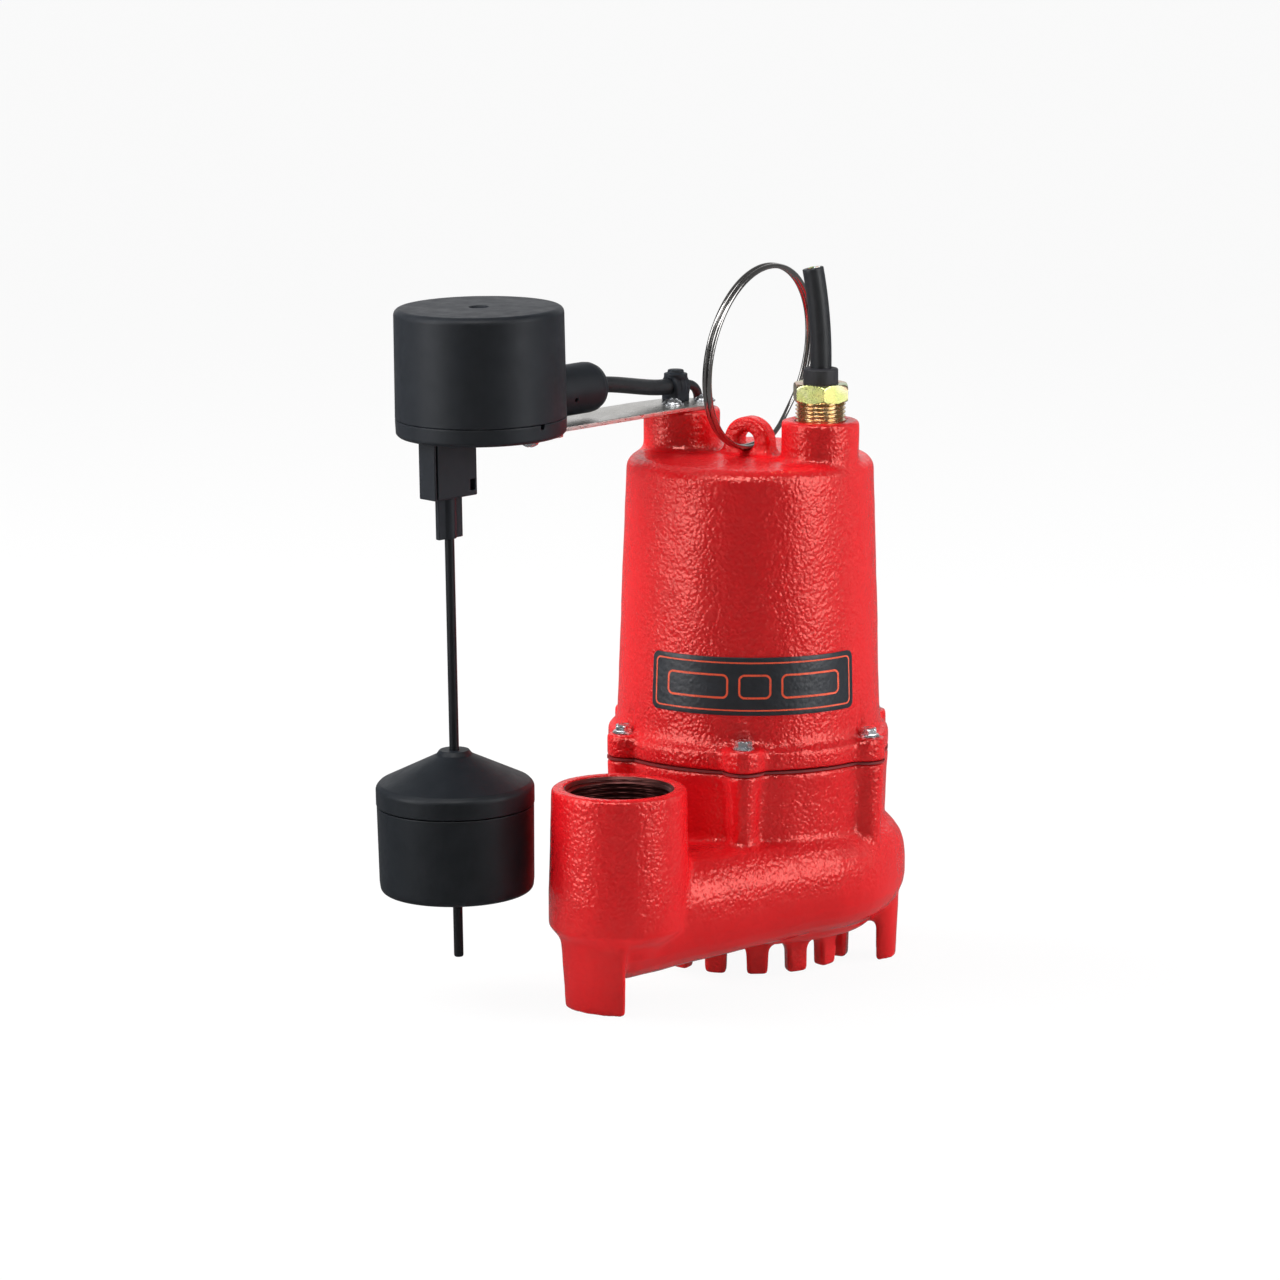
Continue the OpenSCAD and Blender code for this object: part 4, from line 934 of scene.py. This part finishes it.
ring_path = [ring_point(34 + 1.8 * k) for k in range(373)]
add_mesh("split_ring_wire", tube_mesh(ring_path, radius=1.15, n=20, cap=0.45), "spring",
         ("lifting_ring",), body="ring", sharp=0, weight=False)


# ----------------------------------------------------------------- bracket

CLIP_X, CLIP_Y, CLIP_Z = -1, -5.2, STRAP_Z + 9.0    # the axis of the cable through its clip


def bracket_strap():
    """A strap with a round end and a wide far end, bent down beyond BEND."""
    half_w, bend_half = 14.5, 2
    outline = [(half_w * math.cos(math.radians(a)), half_w * math.sin(math.radians(a)))
               for a in range(92, 269, 4)]
    # (x, y, corner radius) along the -Y side; the +Y side mirrors it
    side = [(91, -half_w, 9), (96, -25, 4), (122, -25, 3), (127.5, -19, 3)]
    outline += rounded([(0, -half_w), *side, *((x, -y, r) for x, y, r in reversed(side)),
                        (0, half_w)], 10, closed=False)
    verts, faces = plate(outline, STRAP_Z, STRAP_TOP, edge=0.28)
    bm = bmesh.new()
    made = [bm.verts.new(v) for v in verts]
    for face in faces:
        bm.faces.new([made[i] for i in face])
    for step in (-2, -1, 0, 1, 2):
        bmesh.ops.bisect_plane(bm, geom=bm.verts[:] + bm.edges[:] + bm.faces[:],
                               plane_co=(BEND + step, 0, 0), plane_no=(1, 0, 0), dist=1e-5)
    for v in bm.verts:
        u = v.co.x - BEND
        if u <= -bend_half:
            fall = 0
        elif u < bend_half:
            fall = (u + bend_half) ** 2 / (4 * bend_half)
        else:
            fall = u
        v.co.z -= math.tan(DROOP) * fall
    bm.verts.index_update()
    mesh = [tuple(v.co) for v in bm.verts], [tuple(v.index for v in f.verts) for f in bm.faces]
    bm.free()
    add_mesh("bracket_strap", mesh, "stainless", ("switch_bracket",), "strap",
             sharp=30)


def pan_head(x, y, z):
    """A washer and a pan head with a cross recess, standing on Z = 0."""
    washer = cylinder(x, y, z, centre=(0, 0, 0.45), radius=5.0, half=0.45, edge=0.12)
    rad = np.sqrt(x * x + y * y)
    dome = np.maximum(np.sqrt(rad ** 2 + (z + 1.9) ** 2) - 5.3, rad - 4.15)
    dome = np.maximum(dome, 0.6 - z)
    dome = np.maximum(dome, z - 3.2)
    return cut_cross(smooth_min(washer, dome, 0.25), x, y, z, turn=20, middle=3.6,
                     half=(2.5, 0.42, 1.5), edge=0.12, blend=0.18)


def bracket_screws():
    screw_x, screw_y, reach = 10, 4.5, 5.2
    for i, s in enumerate((-1, 1)):
        field_piece("bracket_screw_%d" % (i + 1),
                    lambda x, y, z: pan_head(x - screw_x * s, y - screw_y, z - STRAP_TOP),
                    (screw_x * s - reach, -0.8, STRAP_Z + 1.8),
                    (screw_x * s + reach, 9.8, STRAP_Z + 6), 0.22, "zinc",
                    ("bracket_screws",) if i == 0 else (), "strap")


def clip_field(x, y, z):
    """A saddle round the cable on a block, with a domed head on top."""
    axis = (CLIP_X, CLIP_Y, CLIP_Z)
    saddle = cylinder(x, y, z, centre=axis, radius=5.3, half=4.6, edge=0.9, axis=0)
    foot = box(x, y, z, centre=(CLIP_X, CLIP_Y, STRAP_Z + 5.4), half=(4.2, 5.2, 3.7), edge=0.9)
    neck = cylinder(x, y, z, centre=(CLIP_X, CLIP_Y, CLIP_Z + 3.5), radius=3.7, half=4.0, edge=0.6)
    s = smooth_min(smooth_min(saddle, foot, 1.0), neck, 1.2)
    rad = np.sqrt((x - CLIP_X) ** 2 + (y - CLIP_Y) ** 2)
    disc = cylinder(x, y, z, centre=(CLIP_X, CLIP_Y, STRAP_Z + 13.9), radius=5.4, half=1.75,
                    edge=0.8)
    head = np.maximum(disc, np.sqrt(rad ** 2 + (z - (STRAP_Z - 1.0)) ** 2) - 16.6)
    s = smooth_min(s, head, 0.5)
    band = cylinder(x, y, z, centre=axis, radius=5.85, half=1.5, edge=0.5, axis=0)
    s = smooth_min(s, band, 0.4)
    return np.maximum(s, STRAP_Z + 2.02 - z)


bracket_strap()
bracket_screws()
field_piece("cable_clip_moulded", clip_field, (-8, -13, STRAP_Z + 1.5), (6, 2.5, STRAP_Z + 17),
            0.25, "guide", replaces=("cable_clip",), kind="strap")


# ------------------------------------------------------------ float switch

SWITCH_R = 38.0
SEAM_Z, CAP_TOP = STRAP_Z + 10, 311.1       # the cap's rim, and its top
GLAND_Z = 268                               # the axis of the gland, which points to -X
MOUNT_X, MOUNT_Y = -10.8, 20                # the two mounting screws, at +Y and -Y


def switch_cap():
    profile = rounded([(0, CAP_TOP - 0.9), (4.0, CAP_TOP - 0.9, 0.5), (4.6, CAP_TOP, 0.4),
                       (37.6, CAP_TOP, 2.9), (37.95, SEAM_Z + 2), (SWITCH_R, SEAM_Z, 0.45),
                       (35.0, SEAM_Z, 0.3), (34.5, 305), (32.5, 307.5), (0, 307.5)], 9,
                      closed=False)
    add_mesh("switch_cap_moulded", lathe_mesh(profile, 160, closed=False), "switch",
             ("switch_cap",), "switch", sharp=45)


def base_field(x, y, z):
    rad = np.sqrt(x * x + y * y)
    # (radius, height above the strap's underside) round the tray
    tray = [(-5, 2.3), (36.4, 2.3), (37.45, 3.4), (37.72, 9.66), (34.9, 9.66), (34.9, 12.8),
            (33.2, 12.8), (33.2, 5.0), (-5, 5.0)]
    s = turned(rad, z, [(r, STRAP_Z + h) for r, h in tray]) - 0.28
    for side in (-1, 1):
        post = cylinder(x, y, z, centre=(MOUNT_X, side * MOUNT_Y, STRAP_Z + 7), radius=4.6,
                        half=3.5, edge=0.3)
        cheek = box(x, y, z, centre=(-2, side * 6.1, STRAP_Z + 9.8), half=(8, 1.5, 6.7), edge=0.3)
        s = smooth_min(smooth_min(s, post, 0.5), cheek, 0.4)
    # the rod's hole, a cross hole through the cheeks, and a notch in the wall at the gland
    s = np.maximum(s, -(np.sqrt((x - ROD_X) ** 2 + y * y) - 3.3))
    s = np.maximum(s, -(np.sqrt((x + 2.5) ** 2 + (z - 261.3) ** 2) - 1.22))
    return np.maximum(s, -box(x, y, z, centre=(-34, 0, 267), half=(6, 6, 6), edge=0.1))


def under_head(x, y, z):
    """A washer and a domed head with a cross recess, hanging from the strap's underside."""
    rad = np.sqrt(x * x + y * y)
    washer = cylinder(x, y, z, centre=(0, 0, STRAP_Z - 0.45), radius=4.4, half=0.45, edge=0.12)
    dome = np.maximum(np.sqrt(rad ** 2 + (z - STRAP_Z - 2.3) ** 2) - 5.4,
                      np.maximum(rad - 3.7, z - STRAP_Z))
    return cut_cross(smooth_min(washer, dome, 0.2), x, y, z, turn=35, middle=STRAP_Z - 3.4,
                     half=(2.2, 0.4, 1.3), edge=0.1, blend=0.15)


def switch_screws():
    for i, s in enumerate((-1, 1)):
        field_piece("switch_screw_%d" % (i + 1),
                    lambda x, y, z: under_head(x - MOUNT_X, y - MOUNT_Y * s, z),
                    (-15.6, MOUNT_Y * s - 4.8, STRAP_Z - 3.6),
                    (-6, MOUNT_Y * s + 4.8, STRAP_Z + 0.4), 0.2, "zinc",
                    ("switch_mount_screws",) if i == 0 else ())


def gland_field(x, y, z):
    rad = np.sqrt(y * y + (z - GLAND_Z) ** 2)
    # (radius from the gland's axis, distance from the switch's axis)
    outline = [(-5, 33.6), (4.5, 33.6), (4.5, 36), (11.2, 36), (11.2, 62.6), (10.9, 65),
               (9.7, 67.6), (7.9, 69.5), (6.3, 70.5), (-5, 70.7)]
    s = turned(rad, -x, outline) - 0.3
    # only the nipple reaches inside the switch's wall
    wall = np.sqrt(x * x + y * y) - SWITCH_R
    s = np.maximum(s, -np.maximum(wall, 4.6 - rad))
    # the bore for the cable, from the outer end
    s = np.maximum(s, -np.maximum(rad - 3.72, 44 + x))
    # a small hole in the +Y side
    hole = np.sqrt((x + 47.5) ** 2 + (z - 265.2) ** 2) - 0.95 + np.where(y < 8.6, 9.0, 0.0)
    return smooth_max(s, -hole, 0.2)


def hung(x, y, z):
    """A point that droops with the switch, in the strap frame."""
    u, h = x - BEND, z - STRAP_Z
    return np.array((BEND + u * math.cos(DROOP) + h * math.sin(DROOP), y,
                     STRAP_Z - u * math.sin(DROOP) + h * math.cos(DROOP)))


def switch_cable():
    """From the gland, through the clip, then without its sheath down beyond the strap's end."""
    x0 = SWITCH_X - 46          # the path's start, inside the gland
    pull = np.array((10, 0, 0))     # how far each end of the curve is drawn out straight
    drop_r, drop_side, drop_fall = 11, 4, 12
    path = [hung(x0 - d, 0, GLAND_Z) for d in (0, 13, 23, 26)]
    start, end = path[-1], np.array((x0 - 70, CLIP_Y, CLIP_Z))
    for u in np.linspace(0.04, 1, 24):
        w = 1 - u
        path.append(w ** 3 * start + 3 * w * w * u * (start - pull)
                    + 3 * w * u * u * (end + pull) + u ** 3 * end)
    path += [(x0 - d, CLIP_Y, CLIP_Z) for d in (74, 78, 79)]
    sheath = len(path)
    path += [(x0 - d, CLIP_Y, CLIP_Z) for d in (80.5, 84.5)]
    for a in range(5, 91, 5):
        s, c = math.sin(math.radians(a)), math.cos(math.radians(a))
        path.append((x0 - 84.5 - drop_r * s, CLIP_Y - drop_side * (1 - c),
                     CLIP_Z - drop_fall * (1 - c)))
    path.append((x0 - 95.9, -9.6, CLIP_Z - 17))
    radii = [3.65] * sheath + [2.1] * (len(path) - sheath)
    add_mesh("switch_cable_jacket", tube_mesh(path, radii, n=32, cap=0.3), "cord",
             ("switch_cable",), "strap", weight=False)


switch_cap()
field_piece("switch_base_moulded", base_field, (-38.4, -38.4, STRAP_Z + 1.5),
            (38.4, 38.4, STRAP_Z + 17.5), by_quality(full=0.42), "switch",
            replaces=("switch_base",), sharp=40)
switch_screws()
field_piece("switch_gland_moulded", gland_field, (-71.6, -12, 256), (-33, 12, 280),
            by_quality(full=0.33), "switch", replaces=("switch_gland",), sharp=40)
switch_cable()


# ----------------------------------------------------------- rod and float

ROD_VOXEL = by_quality(full=0.25)
FLOAT_SEAM = 90.5               # where the float's cone meets its can


def guide_field(x, y, z):
    """A block that hangs from the strap's top face, bored and slotted for the plunger."""
    bottom, top, over = 229.0, STRAP_TOP, 4     # over is trimmed off, to leave a square top
    s = box(x, y, z, centre=(0, 0, (bottom + top + over) / 2),
            half=(12.4, 5.35, (top + over - bottom) / 2), edge=0.55)
    s = np.maximum(s, z - top)
    # an upright groove in the +Y face near the +X end, and a window low at the -X end
    s = smooth_max(s, -box(x, y, z, centre=(10.9, 5.35, 242), half=(0.5, 1.45, 30), edge=0.2), 0.3)
    s = smooth_max(s, -box(x, y, z, centre=(-9.75, 0, 233.9), half=(1.45, 12, 2.4), edge=0.3), 0.3)
    s = smooth_max(s, -(np.sqrt(x * x + y * y) - 3.32), 0.2)
    return smooth_max(s, -box(x, y, z, centre=(0, 0, 235), half=(7.15, 1.35, 15), edge=0.1), 0.2)


def plunger_field(x, y, z):
    """A stem with two fins and a pin on top, bored from below for the rod."""
    bottom, top = 210.5, 257
    s = cylinder(x, y, z, centre=(0, 0, (bottom + top) / 2), radius=3.22,
                 half=(top - bottom) / 2, edge=0.3)
    s = smooth_min(s, box(x, y, z, centre=(0, 0, 225.5), half=(7.02, 1.22, 15), edge=0.35), 0.45)
    s = np.minimum(s, cylinder(x, y, z, centre=(0, 0, 258), radius=1.18, half=2.0, edge=0.3))
    return np.maximum(s, -np.maximum(np.sqrt(x * x + y * y) - 2.17, z - 248))


field_piece("rod_guide_moulded", guide_field, (-12.8, -5.8, 228.5), (12.8, 5.8, STRAP_Z + 2.5),
            ROD_VOXEL, "guide", replaces=("rod_guide",), kind="rod", sharp=40)
field_piece("plunger_moulded", plunger_field, (-7.3, -3.5, 210), (7.3, 3.5, 260.4), ROD_VOXEL,
            "guide", replaces=("plunger",), kind="rod", body="rod", sharp=40)

# profiles are (radius, z) or (radius, z, corner radius)
rod_profile = rounded([(0, 19.9), (1.9, 19.9, 0.5), (2.15, 20.8), (2.15, 120), (2.15, 247.3, 0.3),
                       (0, 247.3)], 15, closed=False)
add_mesh("float_rod_moulded", lathe_mesh(rod_profile, 40, closed=False), "rod",
         ("float_rod",), "rod", body="rod")

stop_profile = rounded([(2.17, 46.9), (4.1, 46.9, 0.4), (5.0, 48.9, 0.4), (5.0, 50.88, 0.3),
                        (2.17, 50.88)])
add_mesh("rod_stop_moulded", lathe_mesh(stop_profile, 48), "rod",
         ("rod_stop",), "rod", body="rod")

cone_profile = [(6.4, 112.4, 0.6), (31.6, 98, 1.5), (32.6, 96.5), (32.55, FLOAT_SEAM + 0.3, 0.3),
                (35.35, FLOAT_SEAM + 0.3, 0.45), (35.4, 98.8, 3.0), (33.6, 100.7, 1.6),
                (8.2, 112.9, 2.5), (6.6, 115, 0.5), (2.25, 115, 0.3), (2.25, 106), (4.2, 106),
                (4.2, 112.4)]
can_profile = [(2.25, 51, 0.4), (34.0, 51, 2.6), (34.6, 56), (35.1, FLOAT_SEAM - 0.15, 0.5),
               (32.4, FLOAT_SEAM - 0.15), (32.4, 95), (30.6, 95), (31, 54.5, 1), (30, 53.5),
               (4.1, 53.5), (4.1, 105.9), (2.25, 105.9)]
for name, node, profile in (("float_cone_moulded", "float_upper_shell", cone_profile),
                            ("float_can_moulded", "float_lower_shell", can_profile)):
    add_mesh(name, lathe_mesh(rounded(profile, 9), 144), "float", (node,),
             "rod", body="float", sharp=45)


# ------------------------------------------- CAD nodes that keep their mesh

KEEP = {
    "gasket": ["flange_gasket"],
    "grey_iron": ["seal_plate"],
    "laminate": ["stator_core", "rotor_core"],
    "winding": ["stator_windings"],
    "bakelite": ["thermal_protector", "snap_switch"],
    "white_wire": ["lead_wires"],
    "casting_al": ["rotor_end_rings"],
    "ground": ["motor_shaft", "switch_lever", "lever_pin", "impeller_nut"],
    "race": ["upper_bearing_outer_race", "upper_bearing_inner_race", "upper_bearing_balls",
             "lower_bearing_outer_race", "lower_bearing_inner_race", "lower_bearing_balls"],
    "cage": ["upper_bearing_cage", "lower_bearing_cage"],
    "ceramic": ["seal_seat"],
    "carbon": ["seal_head"],
    "spring": ["seal_spring"],
    "bronze": ["impeller"],
    "button": ["snap_switch_button"],
}
for key, names in KEEP.items():
    for name in names:
        me = nodes[name].data
        me.materials.clear()
        me.materials.append(MATERIAL[key])
        for polygon in me.polygons:
            polygon.material_index = 0


# ------------------------------------------------------------------- stage

def to_row(x, y, z):
    """A floor frame point in the row frame."""
    return Vector((x * MM, (y + PORT_Y) * MM, (z - PORT_Z) * MM))


VIEW = math.radians(33)         # the camera's turn about Z, from looking along +Y
RIGHT = Vector((math.cos(VIEW), math.sin(VIEW), 0))         # image right
TOWARD = Vector((math.sin(VIEW), -math.cos(VIEW), 0))       # towards the camera
AIM = to_row(0, 0, 140)         # where the lights point


def floor_material():
    """Pale grey, but to the camera mostly an evenly lit white sweep, with light shadows."""
    t = Tree("pale_floor")
    t.set(color=(0.82, 0.82, 0.82), rough=0.75, spec=0.2)

    def glow(strength):
        return t.new("ShaderNodeEmission", Color=(1, 1, 1), Strength=strength).outputs[0]

    def blend(fac, a, b):
        node = t.new("ShaderNodeMixShader")
        for socket, value in zip(node.inputs, (fac, a, b)):
            t.put(socket, value)
        return node.outputs[0]

    ray = t.new("ShaderNodeLightPath").outputs
    seen = blend(t.maths("MULTIPLY", ray["Is Camera Ray"], 0.94), t.bsdf.outputs[0], glow(1.0))
    mirrored = blend(ray["Is Glossy Ray"], seen, glow(0.20))
    t.put(t.nodes["Material Output"].inputs["Surface"], mirrored)
    return t.mat


def add_floor():
    """A floor that curves up into a wall behind the pump, in metres."""
    half_width, front, curve_start, curve_r, wall_top = 6.0, 5.0, 2.6, 1.5, 6.0
    # (distance behind the shaft, height)
    profile = [(-front, 0.0)]
    for a in range(0, 91, 6):
        s, c = math.sin(math.radians(a)), math.cos(math.radians(a))
        profile.append((curve_start + curve_r * s, curve_r - curve_r * c))
    profile.append((curve_start + curve_r, wall_top))
    verts = []
    for behind, height in profile:
        for side in (-half_width, half_width):
            p = -TOWARD * behind + RIGHT * side
            verts.append((p.x, p.y + PORT_Y * MM, height - PORT_Z * MM))
    me = bpy.data.meshes.new("floor")
    me.from_pydata(verts, [], [(2 * i, 2 * i + 1, 2 * i + 3, 2 * i + 2)
                               for i in range(len(profile) - 1)])
    me.shade_smooth()
    floor = bpy.data.objects.new("floor", me)
    scene.collection.objects.link(floor)
    me.materials.append(floor_material())


def add_world():
    """White to the camera, and a dim fill for reflections and for everything else."""
    world = bpy.data.worlds.new("studio")
    scene.world = world
    world.use_nodes = True
    tree = world.node_tree
    ray = tree.nodes.new("ShaderNodeLightPath").outputs

    def backdrop(strength):
        node = tree.nodes.new("ShaderNodeBackground")
        node.inputs["Color"].default_value = (1, 1, 1, 1)
        node.inputs["Strength"].default_value = strength
        return node.outputs[0]

    def choose(*sockets):
        """Mixes by a factor from one shader to another."""
        node = tree.nodes.new("ShaderNodeMixShader")
        for target, socket in zip(node.inputs, sockets):
            tree.links.new(socket, target)
        return node.outputs[0]

    reflected, fill, seen = 0.13, 0.13, 1.0
    lit = choose(ray["Is Glossy Ray"], backdrop(fill), backdrop(reflected))
    tree.links.new(choose(ray["Is Camera Ray"], lit, backdrop(seen)),
                   tree.nodes["World Output"].inputs["Surface"])


# name, degrees round from the camera (positive to image right), degrees up, distance (m),
# width (m), height (m), power (W), and whether it shows in reflections or lights surfaces
LIGHTS = (
    ("softbox_left", -64, 12, 1.5, 0.80, 2.0, 21, "reflects"),
    ("softbox_right", 57, 12, 1.5, 0.74, 2.0, 19, "reflects"),
    ("side_left", -99, 12, 1.4, 0.8, 1.6, 25, "lights"),
    ("side_left_high", -95, 52, 1.4, 0.9, 0.9, 24, "lights"),
    ("side_right", 99, 12, 1.4, 0.8, 1.6, 34, "lights"),
    ("overhead", 175, 72, 1.4, 1.6, 1.0, 9, "lights"),
    ("top_front", -10, 50, 1.5, 0.9, 0.5, 11, "reflects"),
    ("rear", 180, 20, 2.0, 2.5, 1.0, 4.5, "reflects"),
    ("front_fill", 0, 30, 2.6, 2.0, 1.4, 5.8, "lights"),
)


def add_light(name, azimuth, elevation, distance, width, height, power, role):
    azimuth, elevation = math.radians(azimuth), math.radians(elevation)
    level = TOWARD * math.cos(azimuth) + RIGHT * math.sin(azimuth)
    way = level * math.cos(elevation) + Vector((0, 0, math.sin(elevation)))
    light = bpy.data.lights.new(name, "AREA")
    light.shape = "RECTANGLE"
    light.size, light.size_y, light.energy = width, height, power
    light.spread = math.radians(180)
    o = bpy.data.objects.new(name, light)
    scene.collection.objects.link(o)
    o.location = AIM + way * distance
    o.rotation_mode = "QUATERNION"
    o.rotation_quaternion = (AIM - o.location).to_track_quat("-Z", "Y")
    o.visible_glossy = role == "reflects"
    o.visible_diffuse = role == "lights"
    o.visible_camera = False


def add_camera():
    target, distance = to_row(-41.8, -27.1, 147.3), 2.290
    pitch, roll = math.radians(10.8), math.radians(0.2)
    data = bpy.data.cameras.new("camera")
    data.lens, data.sensor_width = 140.6, 36.0
    data.clip_start, data.clip_end = 0.05, 30.0
    camera = bpy.data.objects.new("camera", data)
    scene.collection.objects.link(camera)
    way = TOWARD * math.cos(pitch) + Vector((0, 0, math.sin(pitch)))
    camera.location = target + way * distance
    look = (target - camera.location).to_track_quat("-Z", "Y")
    camera.rotation_mode = "QUATERNION"
    camera.rotation_quaternion = look @ Matrix.Rotation(roll, 3, "Z").to_quaternion()
    scene.camera = camera


add_floor()
add_world()
for row in LIGHTS:
    add_light(*row)
add_camera()
